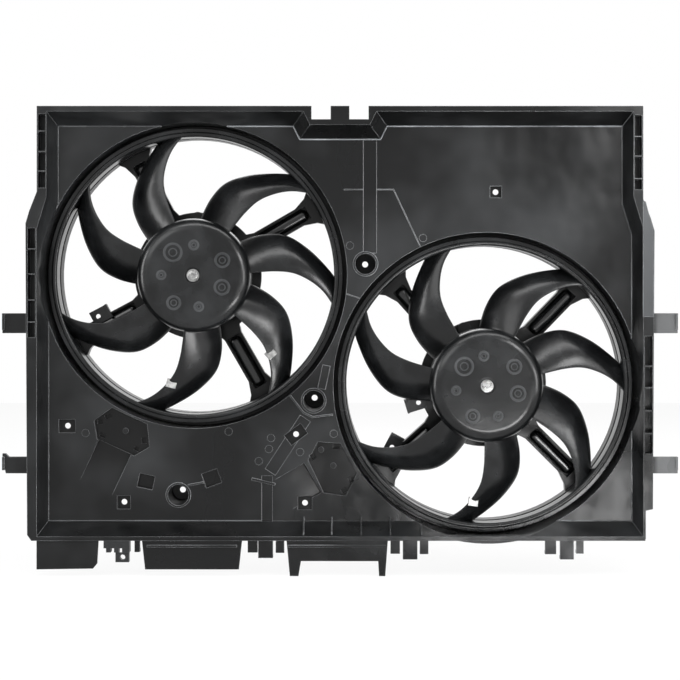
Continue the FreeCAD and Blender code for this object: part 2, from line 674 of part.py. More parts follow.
def blade_station(radius):
    """Front and rear edge of a blade at a radius: angles and depths."""
    share = (radius - BLADE_EDGE_RADII[0]) / (BLADE_EDGE_RADII[-1] - BLADE_EDGE_RADII[0])
    front_deg = curve_value(BLADE_EDGE_RADII, FRONT_EDGE_DEG, radius)
    rear_deg = curve_value(BLADE_EDGE_RADII, REAR_EDGE_DEG, radius)
    front_y = BLADE_ROOT_FRONT_Y + (BLADE_TIP_FRONT_Y - BLADE_ROOT_FRONT_Y) * share
    rear_y = BLADE_ROOT_REAR_Y + (BLADE_TIP_REAR_Y - BLADE_ROOT_REAR_Y) * share
    return front_deg, rear_deg, front_y, rear_y


def blade_section(radius):
    """The blade's curved profile in the flat plane through both edge points."""
    front_deg, rear_deg, front_y, rear_y = blade_station(radius)
    front = polar((0, 0), radius, front_deg)
    rear = polar((0, 0), radius, rear_deg)
    sides = []
    for side in (-1, 1):
        row = []
        for step in range(CHORD_STEPS + 1):
            share = step / CHORD_STEPS
            bow = 4 * share * (1 - share)
            thick = BLADE_EDGE_THICKNESS + (BLADE_THICKNESS - BLADE_EDGE_THICKNESS) * bow
            depth = front_y + (rear_y - front_y) * share - BLADE_CAMBER * bow
            row.append(vector(front[0] + (rear[0] - front[0]) * share, depth + side * thick / 2,
                              front[1] + (rear[1] - front[1]) * share))
        sides.append(row)
    corners = sides[0] + sides[1][::-1]
    return Part.makePolygon(corners + [corners[0]])


def blade():
    """One sickle blade about the origin's axis, its reference radius along +X."""
    radii = [BLADE_EDGE_RADII[0] - 3] + list(BLADE_EDGE_RADII[1:-1]) + [BAND_INNER_R + BAND_THICKNESS + 1]
    solid = Part.makeLoft([blade_section(r) for r in radii], True, True)
    span = tube((0, 0), BAND_INNER_R + BAND_THICKNESS / 2, HUB_R - HUB_WALL / 2, 0, HUB_REAR_Y + BAND_REAR_Y)
    return solid.common(span)


def blade_angles(start):
    angles = [start]
    for gap in BLADE_GAPS:
        angles.append(angles[-1] - gap)
    return angles


def insert_shape(centre, front, back):
    return prism([polar(centre, INSERT_R, 60 * i) for i in range(6)], front, back)


def fan(centre, start):
    """Hub cup, seven blades and the outer band in one moulding."""
    boss_r = INSERT_R + BUSH_WALL
    bore_r = SCREW_SHANK_R - 1
    recess_y = HUB_FRONT_Y + SCREW_RECESS_DEPTH
    inner_y = HUB_FRONT_Y + HUB_WALL
    axis = (0, 0)
    hub = turned(axis, [
        (SCREW_RECESS_R, HUB_FRONT_Y), (HUB_R - HUB_ROUND, HUB_FRONT_Y), (HUB_R, HUB_FRONT_Y + HUB_ROUND),
        (HUB_R, HUB_REAR_Y), (HUB_R - HUB_WALL, HUB_REAR_Y), (HUB_R - HUB_WALL, HUB_FRONT_Y + HUB_ROUND),
        (HUB_R - HUB_ROUND, inner_y), (boss_r, inner_y), (boss_r, INSERT_REAR_Y), (bore_r, INSERT_REAR_Y),
        (bore_r, recess_y), (SCREW_RECESS_R, recess_y),
    ])
    hub = hub.cut(insert_shape(axis, recess_y - 1, INSERT_REAR_Y + 1))
    band_outer = BAND_INNER_R + BAND_THICKNESS
    lip_back = BAND_FRONT_Y + LIP_THICKNESS
    band = turned(axis, [
        (BAND_INNER_R + LIP_ROUND, BAND_FRONT_Y), (LIP_R, BAND_FRONT_Y), (LIP_R, lip_back),
        (band_outer, lip_back), (band_outer, BAND_REAR_Y), (BAND_INNER_R, BAND_REAR_Y),
        (BAND_INNER_R, BAND_FRONT_Y + LIP_ROUND),
    ])
    pieces = [hub, band]
    one = blade()
    rib = block(boss_r - 1, HUB_R - HUB_WALL + 1, inner_y - 1, inner_y + HUB_RIB_HEIGHT,
                -HUB_RIB_THICKNESS / 2, HUB_RIB_THICKNESS / 2)
    rib = rib.common(disc(axis, HUB_R - HUB_ROUND, 0, HUB_REAR_Y))
    for degrees in blade_angles(start):
        pieces.append(spun(one, axis, degrees))
        pieces.append(spun(rib, axis, degrees))
    whole = merged(pieces)
    whole.translate(vector(centre[0], 0, centre[1]))
    return whole


def arm(centre, degrees):
    """A channel arm, open to the front, with flared roots."""
    inner = SEAT_OUTER_R - ARM_OVERLAP
    outer = REAR_RING_INNER_R + ARM_OVERLAP
    half = ARM_WIDTH / 2
    ring = REAR_RING_INNER_R
    upper = [(inner, half + ARM_ROOT_FLARE), (inner + ARM_ROOT_FLARE * 3, half), (ring - ARM_FLARE * 1.5, half),
             (ring - ARM_FLARE * 0.5, half + ARM_FLARE * 0.35), (outer, half + ARM_FLARE)]
    lower = [(x, -z) for x, z in reversed(upper)]
    solid = prism(upper + lower, ARM_FRONT_Y, DUCT_REAR_Y)
    groove_start = SEAT_OUTER_R + ARM_ROOT_FLARE * 2
    groove_end = ring - ARM_FLARE * 0.75
    groove = block(groove_start, groove_end, ARM_FRONT_Y - 1, DUCT_REAR_Y - ARM_WALL,
                   ARM_WALL - half, half - ARM_WALL)
    solid = solid.cut(groove)
    solid.translate(vector(centre[0], 0, centre[1]))
    return spun(solid, centre, degrees)


def boss_angles(first):
    return [first + 120 * i for i in range(3)]


def fan_duct(centre):
    """The duct wall round a fan, stepped in to the rear ring."""
    duct_outer = OPENING_R + DUCT_WALL
    step_back = REAR_RING_Y + DUCT_WALL
    return turned(centre, [
        (OPENING_R, FLOOR_BACK_Y), (duct_outer, FLOOR_BACK_Y), (duct_outer, step_back), (RING_OUTER_R, step_back),
        (RING_OUTER_R, DUCT_REAR_Y), (REAR_RING_INNER_R, DUCT_REAR_Y), (REAR_RING_INNER_R, REAR_RING_Y),
        (OPENING_R, REAR_RING_Y),
    ])


def motor_bracket(centre, arm_angles, first_boss):
    """Four arms from the rear ring to the motor seat, with three screw bosses."""
    limit = disc(centre, REAR_RING_INNER_R, ARM_FRONT_Y - 1, DUCT_REAR_Y + 1)
    pieces = [disc(centre, SEAT_OUTER_R, ARM_FRONT_Y, SEAT_BACK_Y)]
    for degrees in arm_angles:
        pieces.append(arm(centre, degrees).common(limit))
    boss_front = SEAT_BACK_Y - BOSS_LENGTH
    for degrees in boss_angles(first_boss):
        pieces.append(disc(polar(centre, BOSS_CIRCLE_R, degrees), BOSS_R, boss_front, SEAT_BACK_Y))
    whole = merged(pieces)
    whole = whole.cut(disc(centre, SEAT_INNER_R, 0, DUCT_REAR_Y + 1))
    whole = whole.cut(disc(centre, SEAT_OUTER_R + EAR_ROOM, SEAT_BACK_Y, DUCT_REAR_Y + 1))
    for degrees in boss_angles(first_boss):
        whole = whole.cut(disc(polar(centre, BOSS_CIRCLE_R, degrees), MOTOR_SCREW_R + SEAT_FIT,
                               boss_front + BOSS_SKIN, SEAT_BACK_Y + 1))
    return whole.removeSplitter()


CAN_REAR_Y = SEAT_BACK_Y
NOSE_Y = CAN_FRONT_Y - NOSE_LENGTH
MAGNET_INNER_R = CAN_R - CAN_WALL - MAGNET_THICKNESS
CORE_R = MAGNET_INNER_R - AIR_GAP
CORE_FRONT_Y = CAN_FRONT_Y + CAN_WALL + END_TURN_LENGTH + 2.0
CORE_REAR_Y = CORE_FRONT_Y + CORE_LENGTH
COMMUTATOR_Y = CORE_REAR_Y + END_TURN_LENGTH
DOME_Y = SEAT_BACK_Y + COVER_FLANGE_THICKNESS
DOME_REAR_Y = DOME_Y + COVER_DOME_DEPTH
REAR_BEARING_Y = DOME_REAR_Y - BEARING_WIDTH
BRUSH_PLATE_Y = DOME_Y + 0.5


def motor_can(centre):
    """Drawn steel cup with the front bearing nose."""
    seat = FRONT_BEARING_R + SEAT_FIT
    inner_y = CAN_FRONT_Y + CAN_WALL
    return turned(centre, [
        (seat, NOSE_Y), (seat + NOSE_WALL, NOSE_Y), (seat + NOSE_WALL, CAN_FRONT_Y),
        (CAN_R, CAN_FRONT_Y), (CAN_R, CAN_REAR_Y), (CAN_R - CAN_WALL, CAN_REAR_Y),
        (CAN_R - CAN_WALL, inner_y), (seat, inner_y),
    ])


def motor_end_cover(centre, first_boss):
    """Rear cover with three screw ears and the rear bearing seat."""
    seat = REAR_BEARING_R + SEAT_FIT
    inner = COVER_DOME_R - COVER_WALL
    back = DOME_REAR_Y + COVER_WALL
    pieces = [turned(centre, [
        (inner, SEAT_BACK_Y), (CAN_R + 2, SEAT_BACK_Y), (CAN_R + 2, DOME_Y), (COVER_DOME_R, DOME_Y),
        (COVER_DOME_R, back), (0, back), (0, DOME_REAR_Y), (seat, DOME_REAR_Y), (seat, REAR_BEARING_Y),
        (seat + COVER_WALL, REAR_BEARING_Y), (seat + COVER_WALL, DOME_REAR_Y), (inner, DOME_REAR_Y),
    ])]
    ear_r = BOSS_R - 1
    for degrees in boss_angles(first_boss):
        inset = CAN_R - 2
        tip = BOSS_CIRCLE_R + ear_r
        ear = prism([(inset, ear_r), (tip - 4, ear_r), (tip, ear_r - 4), (tip, 4 - ear_r), (tip - 4, -ear_r),
                     (inset, -ear_r)], SEAT_BACK_Y, DOME_Y)
        ear.translate(vector(centre[0], 0, centre[1]))
        pieces.append(spun(ear, centre, degrees))
    whole = merged(pieces)
    for degrees in boss_angles(first_boss):
        hole = disc(polar(centre, BOSS_CIRCLE_R, degrees), MOTOR_SCREW_R + SEAT_FIT, SEAT_BACK_Y - 1, DOME_Y + 1)
        whole = whole.cut(hole)
    return whole


def magnets(centre):
    """Four curved magnets against the can's wall."""
    ring = tube((0, 0), CAN_R - CAN_WALL, MAGNET_INNER_R, CORE_FRONT_Y - 2, CORE_FRONT_Y - 2 + MAGNET_LENGTH)
    reach = CAN_R * 2
    half = math.radians(MAGNET_SPAN_DEG / 2)
    wedge = prism([(0, 0), (reach * math.cos(half), reach * math.sin(half)),
                   (reach * math.cos(half), -reach * math.sin(half))], 0, DUCT_REAR_Y)
    one = ring.common(wedge)
    one.translate(vector(centre[0], 0, centre[1]))
    return [spun(one, centre, 45 + 90 * i) for i in range(4)]


def toothed(centre, radius, front, back):
    """A twelve-sided block, one side for each tooth or bar."""
    return prism([polar(centre, radius, 360 / CORE_TEETH * i) for i in range(CORE_TEETH)], front, back)


def armature_core(centre):
    """Laminated core, with a groove between the teeth for the windings."""
    core = toothed(centre, CORE_R, CORE_FRONT_Y, CORE_REAR_Y)
    slot = block(centre[0] + CORE_R - SLOT_DEPTH, centre[0] + CORE_R, CORE_FRONT_Y - 1, CORE_REAR_Y + 1,
                 centre[1] - SLOT_WIDTH / 2, centre[1] + SLOT_WIDTH / 2)
    for i in range(CORE_TEETH):
        core = core.cut(spun(slot, centre, 360 / CORE_TEETH * i))
    return core.cut(disc(centre, SHAFT_R, CORE_FRONT_Y - 1, CORE_REAR_Y + 1))


def armature_windings(centre):
    """The copper end turns on both sides of the core."""
    turns = []
    for front, back in ((CORE_FRONT_Y - END_TURN_LENGTH, CORE_FRONT_Y), (CORE_REAR_Y, COMMUTATOR_Y)):
        ring = toothed(centre, CORE_R - TOOTH_TIP, front, back)
        turns.append(ring.cut(toothed(centre, COMMUTATOR_R + 2, front - 1, back + 1)))
    return turns


def commutator(centre):
    """Copper bars on the shaft that the brushes touch."""
    back = COMMUTATOR_Y + COMMUTATOR_LENGTH
    ring = toothed(centre, COMMUTATOR_R, CORE_REAR_Y, back)
    return ring.cut(disc(centre, SHAFT_R, CORE_REAR_Y - 1, back + 1))


def motor_shaft(centre):
    """Steel shaft, drilled in front for the fan screw."""
    shaft = disc(centre, SHAFT_R, SHAFT_FRONT_Y, DOME_REAR_Y - 0.5)
    hole = disc(centre, SCREW_SHANK_R + SEAT_FIT, SHAFT_FRONT_Y - 1, SHAFT_FRONT_Y + SCREW_LENGTH)
    return shaft.cut(hole)


def front_bearing(centre):
    return tube(centre, FRONT_BEARING_R, SHAFT_R + RUNNING_FIT, NOSE_Y, NOSE_Y + BEARING_WIDTH)


def rear_bearing(centre):
    return tube(centre, REAR_BEARING_R, SHAFT_R + RUNNING_FIT, REAR_BEARING_Y, DOME_REAR_Y)


def brush_plate(centre):
    """Insulating plate that carries the brushes."""
    back = BRUSH_PLATE_Y + BRUSH_PLATE_THICKNESS
    plate = toothed(centre, COVER_DOME_R - COVER_WALL, BRUSH_PLATE_Y, back)
    plate = plate.cut(toothed(centre, COMMUTATOR_R + 3, BRUSH_PLATE_Y - 1, back + 1))
    tower = BRUSH_HEIGHT + 1
    for side in (-1, 1):
        for edge in (-1, 1):
            near = COMMUTATOR_R + 4
            xs = sorted((centre[0] + side * near, centre[0] + side * (near + 10)))
            zs = sorted((centre[1] + edge * BRUSH_WIDTH / 2, centre[1] + edge * (BRUSH_WIDTH / 2 + 1.5)))
            plate = plate.fuse(block(xs[0], xs[1], back, back + tower, zs[0], zs[1]))
    return plate.removeSplitter()


def brushes(centre):
    """Two carbon brushes that touch the commutator."""
    front = BRUSH_PLATE_Y + BRUSH_PLATE_THICKNESS
    half = BRUSH_WIDTH / 2
    result = []
    for side in (-1, 1):
        xs = sorted((centre[0], centre[0] + side * (COMMUTATOR_R + BRUSH_LENGTH)))
        bar = block(xs[0], xs[1], front, front + BRUSH_HEIGHT, centre[1] - half, centre[1] + half)
        result.append(bar.cut(disc(centre, COMMUTATOR_R + SEAT_FIT, 0, DOME_REAR_Y)))
    return result


def brush_springs(centre):
    """Two coiled strip springs that press the brushes in."""
    front = BRUSH_PLATE_Y + BRUSH_PLATE_THICKNESS
    result = []
    for side in (-1, 1):
        axis = (centre[0] + side * (COMMUTATOR_R + BRUSH_LENGTH + SPRING_R), centre[1])
        coil = [prism([polar(axis, r, 45 * i) for i in range(8)], front, front + BRUSH_HEIGHT - 1)
                for r in (SPRING_R, SPRING_R - SPRING_STRIP)]
        result.append(coil[0].cut(coil[1]))
    return result


def motor_screws(centre, first_boss):
    """Three screws through the cover's ears into the seat."""
    result = []
    for degrees in boss_angles(first_boss):
        spot = polar(centre, BOSS_CIRCLE_R, degrees)
        head = prism([polar(spot, MOTOR_SCREW_HEAD_R, 60 * i) for i in range(6)], DOME_Y,
                     DOME_Y + MOTOR_SCREW_HEAD)
        shank = disc(spot, MOTOR_SCREW_R, DOME_Y - MOTOR_SCREW_LENGTH, DOME_Y)
        result.append(head.fuse(shank))
    return result


def connector_socket(centre):
    """Plug socket on the motor's back, its mouth to the left."""
    half = SOCKET_WIDTH / 2
    front = DOME_Y + 1
    back = DOME_REAR_Y + COVER_WALL
    left = centre[0] - COVER_DOME_R - SOCKET_LENGTH + 3
    shell = block(left, centre[0] - COVER_DOME_R + 8, front, back, centre[1] - half, centre[1] + half)
    room = block(left - 1, left + SOCKET_LENGTH - 6, front + SOCKET_WALL, back - SOCKET_WALL,
                 centre[1] - half + SOCKET_WALL, centre[1] + half - SOCKET_WALL)
    return shell.cut(room).cut(disc(centre, COVER_DOME_R, 0, back + 1))


def hub_insert(centre):
    """Six-sided steel bush moulded into the hub; the shaft and the screw hold it."""
    front = HUB_FRONT_Y + SCREW_RECESS_DEPTH
    return insert_shape(centre, front, INSERT_REAR_Y).cut(disc(centre, SHAFT_R, front - 1, INSERT_REAR_Y + 1))


def fan_screw(centre):
    """Silver centre screw that clamps the hub insert to the shaft."""
    seat = HUB_FRONT_Y + SCREW_RECESS_DEPTH
    head_front = seat - SCREW_HEAD_HEIGHT
    head = disc(centre, SCREW_HEAD_R, head_front, seat)
    drive = prism([polar(centre, SCREW_DRIVE_R, 60 * i) for i in range(6)], head_front - 1, head_front + 2.4)
    return head.fuse(disc(centre, SCREW_SHANK_R, seat, seat + SCREW_LENGTH)).cut(drive)


def blade_point(start, index, radius):
    """A blade's front edge at a radius: its angle, its depth and the slope behind it."""
    front_deg, rear_deg, front_y, rear_y = blade_station(radius)
    half_chord = radius * math.radians(rear_deg - front_deg) / 2
    slope = math.atan2((rear_y - front_y) / 2 - BLADE_CAMBER * 1.7, half_chord)
    return blade_angles(start)[index] + front_deg, front_y, slope


def balance_clip(centre, start, index, radius):
    """A U of silver sheet pressed over a blade's front edge."""
    edge_deg, y, slope = blade_point(start, index, radius)
    gap = BLADE_EDGE_THICKNESS + CLIP_GAP
    outer = block(-CLIP_SHEET - CLIP_GAP, CLIP_LENGTH, -gap / 2 - CLIP_SHEET, gap / 2 + CLIP_SHEET,
                  -CLIP_WIDTH / 2, CLIP_WIDTH / 2)
    inner = block(-CLIP_GAP, CLIP_LENGTH + 1, -gap / 2, gap / 2, -CLIP_WIDTH, CLIP_WIDTH)
    clip = outer.cut(inner)
    clip.rotate(vector(0, 0, 0), vector(0, 0, 1), math.degrees(slope))
    clip.rotate(vector(0, 0, 0), vector(0, 1, 0), -90)
    clip.translate(vector(radius, y, 0))
    clip = spun(clip, (0, 0), edge_deg)
    clip.translate(vector(centre[0], 0, centre[1]))
    return clip


def wire_guide(centre, degrees, reach, turn):
    """A bracket with a wire tie hole, seated on the motor bracket's front face."""
    spot = polar(centre, reach, degrees)
    half = GUIDE_WIDTH / 2
    tip = GUIDE_LENGTH / 2
    face = ARM_FRONT_Y - GUIDE_THICKNESS
    plate = block(-tip, tip, face, ARM_FRONT_Y, -half, half)
    post = block(tip - GUIDE_THICKNESS, tip, face - GUIDE_POST, face, -half, half)
    guide = plate.fuse(post).cut(disc((-tip / 3, 0), GUIDE_HOLE_R, face - 1, ARM_FRONT_Y + 1))
    guide.rotate(vector(0, 0, 0), vector(0, -1, 0), turn)
    guide.translate(vector(spot[0], 0, spot[1]))
    return guide


def wiring_clip():
    """Push-on clip on the bottom edge at the left."""
    left, right = WIRING_CLIP_X
    front = 0
    back = WIRING_CLIP_DEPTH
    low = BOTTOM_Z - WIRING_CLIP_HEIGHT
    body = block(left, right, front, back, low, BOTTOM_Z)
    lug_left = left + WIRING_CLIP_HEIGHT
    lug = block(lug_left, right - 1, front + 2, back - 2, low - WIRING_LUG, low)
    notch = disc(((lug_left + right) / 2, low - WIRING_LUG / 2), WIRING_HOLE_R, front, back)
    whole = body.fuse(lug).cut(notch)
    for i in range(3):
        tooth = left + 3 * WIRING_HOLE_R * i
        whole = whole.cut(block(tooth - 1, tooth + 3, front - 1, back + 1, low - 1, low + 5))
    return whole


def origin():
    """The centre bolt hole, at the front face of its cup's bottom."""
    x, z = BOLT_CUPS["centre"]
    return vector(x, FLOOR_DEPTH + BOLT_CUP_DEPTH, z)


def save(name, shapes):
    solids = shapes if isinstance(shapes, list) else [shapes]
    whole = Part.makeCompound(solids) if len(solids) > 1 else solids[0]
    whole = whole.copy()
    whole.translate(origin() * -1)
    whole.exportStep(os.path.join("parts", name + ".step"))
    box = whole.BoundBox
    print(name, whole.isValid(), len(whole.Solids), round(whole.Volume / 1000, 2),
          [round(v, 1) for v in (box.XMin, box.XMax, box.YMin, box.YMax, box.ZMin, box.ZMax)])


def build():
    os.makedirs("parts", exist_ok=True)
    save("shroud", shroud())
    save("side_cover", side_cover(0))
    save("wiring_clip", wiring_clip())
    centres = [side[0] for side in SIDES.values()]
    save("fan_ducts", [fan_duct(centre) for centre in centres])
    save("motor_brackets", [motor_bracket(centre, arms, boss) for centre, _, arms, boss in SIDES.values()])
    save("motor_cans", [motor_can(centre) for centre in centres])
    save("motor_end_covers", [motor_end_cover(centre, boss) for centre, _, _, boss in SIDES.values()])
    save("motor_screws", [screw for centre, _, _, boss in SIDES.values() for screw in motor_screws(centre, boss)])
    save("connector_sockets", [connector_socket(centre) for centre in centres])
    save("wire_guides", [wire_guide(LEFT_FAN, *spot) for spot in LEFT_GUIDES]
         + [wire_guide(RIGHT_FAN, *spot) for spot in RIGHT_GUIDES])
    save("magnets", [piece for centre in centres for piece in magnets(centre)])
    save("front_bearings", [front_bearing(centre) for centre in centres])
    save("rear_bearings", [rear_bearing(centre) for centre in centres])
    save("brush_plates", [brush_plate(centre) for centre in centres])
    save("brushes", [piece for centre in centres for piece in brushes(centre)])
    save("brush_springs", [piece for centre in centres for piece in brush_springs(centre)])
    clips = {"left": LEFT_CLIPS, "right": RIGHT_CLIPS}
    for side, (centre, start, _, _) in SIDES.items():
        save(side + "_armature_core", armature_core(centre))
        save(side + "_windings", armature_windings(centre))
        save(side + "_commutator", commutator(centre))
        save(side + "_motor_shaft", motor_shaft(centre))
        impeller = fan(centre, start)
        save(side + "_fan", impeller)
        save(side + "_hub_insert", hub_insert(centre))
        save(side + "_fan_screw", fan_screw(centre))
        save(side + "_balance_clips", [balance_clip(centre, start, i, r).cut(impeller) for i, r in clips[side]])


build()
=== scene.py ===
import math

import bmesh
import bpy
from mathutils import Matrix, Vector


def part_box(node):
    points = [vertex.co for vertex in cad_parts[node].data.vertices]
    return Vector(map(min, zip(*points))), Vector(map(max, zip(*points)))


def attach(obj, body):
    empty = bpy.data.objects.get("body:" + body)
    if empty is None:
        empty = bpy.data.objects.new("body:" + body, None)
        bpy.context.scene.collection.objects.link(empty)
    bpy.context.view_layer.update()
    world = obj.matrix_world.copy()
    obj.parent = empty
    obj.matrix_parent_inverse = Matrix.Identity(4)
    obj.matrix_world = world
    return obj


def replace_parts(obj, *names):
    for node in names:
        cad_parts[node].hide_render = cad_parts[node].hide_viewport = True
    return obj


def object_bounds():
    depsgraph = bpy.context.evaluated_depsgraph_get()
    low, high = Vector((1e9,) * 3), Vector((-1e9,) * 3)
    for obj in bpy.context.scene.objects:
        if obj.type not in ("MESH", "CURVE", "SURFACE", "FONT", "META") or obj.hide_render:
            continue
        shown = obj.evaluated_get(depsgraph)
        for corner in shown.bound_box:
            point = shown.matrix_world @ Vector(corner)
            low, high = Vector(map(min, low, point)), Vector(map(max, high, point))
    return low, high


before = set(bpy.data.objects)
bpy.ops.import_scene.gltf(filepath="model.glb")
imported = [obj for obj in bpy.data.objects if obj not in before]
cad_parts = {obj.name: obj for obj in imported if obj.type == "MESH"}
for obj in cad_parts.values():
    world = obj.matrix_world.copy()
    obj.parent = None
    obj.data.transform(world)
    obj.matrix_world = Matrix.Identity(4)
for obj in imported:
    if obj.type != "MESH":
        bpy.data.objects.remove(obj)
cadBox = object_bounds()
print("frame loaded:", len(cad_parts), "nodes")

mm = 0.001
shroudBody = "shroud_assembly"
sides = ("left", "right")
turnSteps = 192                      # segments round a fan
softAngle = 60.0                     # degrees: only sharper edges than this stay crisp on round pieces
boltX, boltY, boltZ = 30.9, 82.0, 91.9    # mm: the centre bolt hole, where the frame's origin sits


def point(x, z, depth=0.0):          # mm seen from the radiator: right, up, and back from the rim
    return Vector(((x - boltX) * mm, (depth - boltY) * mm, (z - boltZ) * mm))


def fanAxis(side):                   # the shaft is what each fan turns on
    low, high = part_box(side + "_motor_shaft")
    return Vector(((low.x + high.x) / 2, 0.0, (low.z + high.z) / 2))


def feed(tree, value, socket):       # links a node's output, or sets a plain value
    if isinstance(value, Link):
        tree.links.new(value.out, socket)
    else:
        socket.default_value = value


class Link:                          # a node's output that can be used in sums
    def __init__(self, tree, out):
        self.tree = tree
        self.out = out

    def sum(self, operation, other, flip=False):
        node = self.tree.nodes.new("ShaderNodeMath")
        node.operation = operation
        first, second = (other, self) if flip else (self, other)
        feed(self.tree, first, node.inputs[0])
        feed(self.tree, second, node.inputs[1])
        return Link(self.tree, node.outputs[0])

    def __add__(self, other): return self.sum("ADD", other)
    def __radd__(self, other): return self.sum("ADD", other)
    def __sub__(self, other): return self.sum("SUBTRACT", other)
    def __rsub__(self, other): return self.sum("SUBTRACT", other, flip=True)
    def __mul__(self, other): return self.sum("MULTIPLY", other)
    def __rmul__(self, other): return self.sum("MULTIPLY", other)
    def __truediv__(self, other): return self.sum("DIVIDE", other)
    def __rtruediv__(self, other): return self.sum("DIVIDE", other, flip=True)


bevelSamples = 6                     # rays that a rounded edge is shaded with


class Finish:                        # one material and the means to wire it
    def __init__(self, name):
        self.material = bpy.data.materials.new(name)
        self.material.use_nodes = True
        self.tree = self.material.node_tree
        self.tree.nodes.clear()
        self.output = self.tree.nodes.new("ShaderNodeOutputMaterial")
        self.shader = self.tree.nodes.new("ShaderNodeBsdfPrincipled")
        self.tree.links.new(self.shader.outputs[0], self.output.inputs[0])
        self.coords = Link(self.tree, self.tree.nodes.new("ShaderNodeTexCoord").outputs["Object"])

    def node(self, kind, settings=None, out=0, **values):    # s0, s1 and so on mean a socket by its number
        made = self.tree.nodes.new("ShaderNode" + kind)
        for key, value in (settings or {}).items():
            if key == "stops":
                self.stops(made.color_ramp, value)
            else:
                setattr(made, key, value)
        for key, value in values.items():
            numbered = key[0] == "s" and key[1:].isdigit()
            feed(self.tree, value, made.inputs[int(key[1:]) if numbered else key])
        return Link(self.tree, made.outputs[out])

    def stops(self, ramp, stops):
        while len(ramp.elements) < len(stops):
            ramp.elements.new(0.5)       # its place is set below
        for element, (where, value) in zip(ramp.elements, stops):
            element.position = where
            element.color = (value, value, value, 1.0)

    def noise(self, scale, detail=4.0, roughness=0.55, stretch=None):
        where = self.coords
        if stretch:
            where = self.node("Mapping", s0=self.coords, s3=stretch)
        return self.node("TexNoise", Vector=where, Scale=scale, Detail=detail, Roughness=roughness)

    def ramp(self, value, *stops):
        return self.node("ValToRGB", {"stops": stops}, s0=value)

    def blend(self, share, first, second):    # a colour mix, whose colour sockets are 6 and 7
        mixed = self.tree.nodes.new("ShaderNodeMix")
        mixed.data_type = "RGBA"
        for index, value in ((0, share), (6, first), (7, second)):
            feed(self.tree, value, mixed.inputs[index])
        return Link(self.tree, mixed.outputs[2])

    def bump(self, height, distance, strength=1.0, normal=None):
        values = {"Height": height, "Distance": distance, "Strength": strength}
        if normal:
            values["Normal"] = normal
        return self.node("Bump", **values)

    def roundedEdges(self, radius):
        return self.node("Bevel", {"samples": bevelSamples}, Radius=radius)

    def edgeShare(self, radius, *stops):    # high on edges and in corners, 0 on open faces
        plain = self.node("NewGeometry", out=1)
        rounded = self.roundedEdges(radius)
        turn = self.node("VectorMath", {"operation": "DOT_PRODUCT"}, out=1, s0=rounded, s1=plain)
        return self.ramp(1 - turn, *stops)

    def along(self, axis):               # the place along one axis of the frame, in metres
        return self.node("SeparateXYZ", out="XYZ".index(axis), s0=self.coords)

    def faceTurn(self, axis):            # how far a face looks along one axis of the frame
        plain = self.node("NewGeometry", out=1)
        return self.node("SeparateXYZ", out="XYZ".index(axis), s0=plain)

    def set(self, **values):
        for key, value in values.items():
            feed(self.tree, value, self.shader.inputs[key.replace("_", " ")])
        return self.material


def grey(value, warm=0.0):
    return (value * (1 + warm), value, value * (1 - warm), 1.0)


def tone(red, green, blue):
    return (red, green, blue, 1.0)


plastic = {                          # what every moulded plastic shares
    "grainDetail": 2.0, "flowDetail": 5.0, "cloudDetail": 3.0,
    "darkTint": -0.07, "lightTint": -0.05, "paintedEdgeLightTint": -0.03, "deepTint": -0.1, "paleTint": -0.02,
    "edgeStops": ((0.02, 0.0), (0.2, 1.0)), "patchStops": ((0.38, 0.15), (0.62, 1.0)),
    "facingStops": ((0.5, 0.0), (0.9, 1.0)), "runStops": ((0.0, 0.0), (1.0, 1.0)),
    "deepRun": 0.004, "paleRun": 0.006,    # metres over which these two shades come in
}


def mouldedPlastic(name, look):
    finish = Finish(name)
    grain = finish.noise(look["grainScale"], plastic["grainDetail"])
    flow = finish.noise(look["flowScale"], plastic["flowDetail"], stretch=look["flowStretch"])
    # lighter cloudy patches at random: partly tone that differs, partly painted soft highlight patches
    cloud = finish.noise(look["cloudScale"], plastic["cloudDetail"])
    toneAndHighlightPatches = finish.ramp(cloud, (look["cloudLow"], 0.0), (look["cloudHigh"], 1.0))
    dark = grey(look["dark"], plastic["darkTint"])
    light = grey(look["light"], plastic["lightTint"])
    colour = finish.blend(toneAndHighlightPatches, dark, light)
    # painted highlight: thin lighter lines along edges and in corners, in patches
    paintedEdgeLight = finish.edgeShare(look["edge"], *plastic["edgeStops"]) * finish.ramp(flow, *plastic["patchStops"])
    colour = finish.blend(paintedEdgeLight, colour, grey(look["paintedEdgeLight"], plastic["paintedEdgeLightTint"]))
    if "deepFrom" in look:               # painted shade: the floors of pockets and cups behind the tray's floor are darkened
        behind = (finish.along("Y") - look["deepFrom"]) / plastic["deepRun"]
        facing = finish.ramp(finish.faceTurn("Y") * -1.0, *plastic["facingStops"])
        deep = finish.ramp(behind, *plastic["runStops"]) * facing
        colour = finish.blend(deep, colour, grey(look["deep"], plastic["deepTint"]))
    if "paleFrom" in look:               # the ends that stand in the light of the backdrop
        far = finish.ramp((finish.along("X") - look["paleFrom"]) / plastic["paleRun"], *plastic["runStops"])
        colour = finish.blend(far, colour, grey(look["pale"], plastic["paleTint"]))
    rough = look["rough"] + (flow - 0.5) * look["flowRough"] + (cloud - 0.5) * look["cloudRough"]
    relief = grain * look["grainShare"] + flow * look["flowShare"]
    sagged = finish.bump(cloud, look["sag"], 1.0, finish.roundedEdges(look["edge"]))
    normal = finish.bump(relief, look["relief"], 1.0, sagged)
    finish.shader.inputs["Specular IOR Level"].default_value = look["shine"]
    return finish.set(Base_Color=colour, Roughness=rough, Normal=normal)


def blankMetal(name, look):
    finish = Finish(name)
    brushed = finish.noise(look["lineScale"], look["lineDetail"], stretch=look["stretch"])
    spots = finish.noise(look["spotScale"])
    colour = finish.blend(finish.ramp(spots, *look["spotStops"]), look["dark"], look["light"])
    rough = look["rough"] + (spots - 0.5) * look["roughShift"]
    normal = finish.bump(brushed, look["relief"], 1.0, finish.roundedEdges(look["edge"]))
    return finish.set(Base_Color=colour, Roughness=rough, Metallic=look["metal"], Normal=normal)


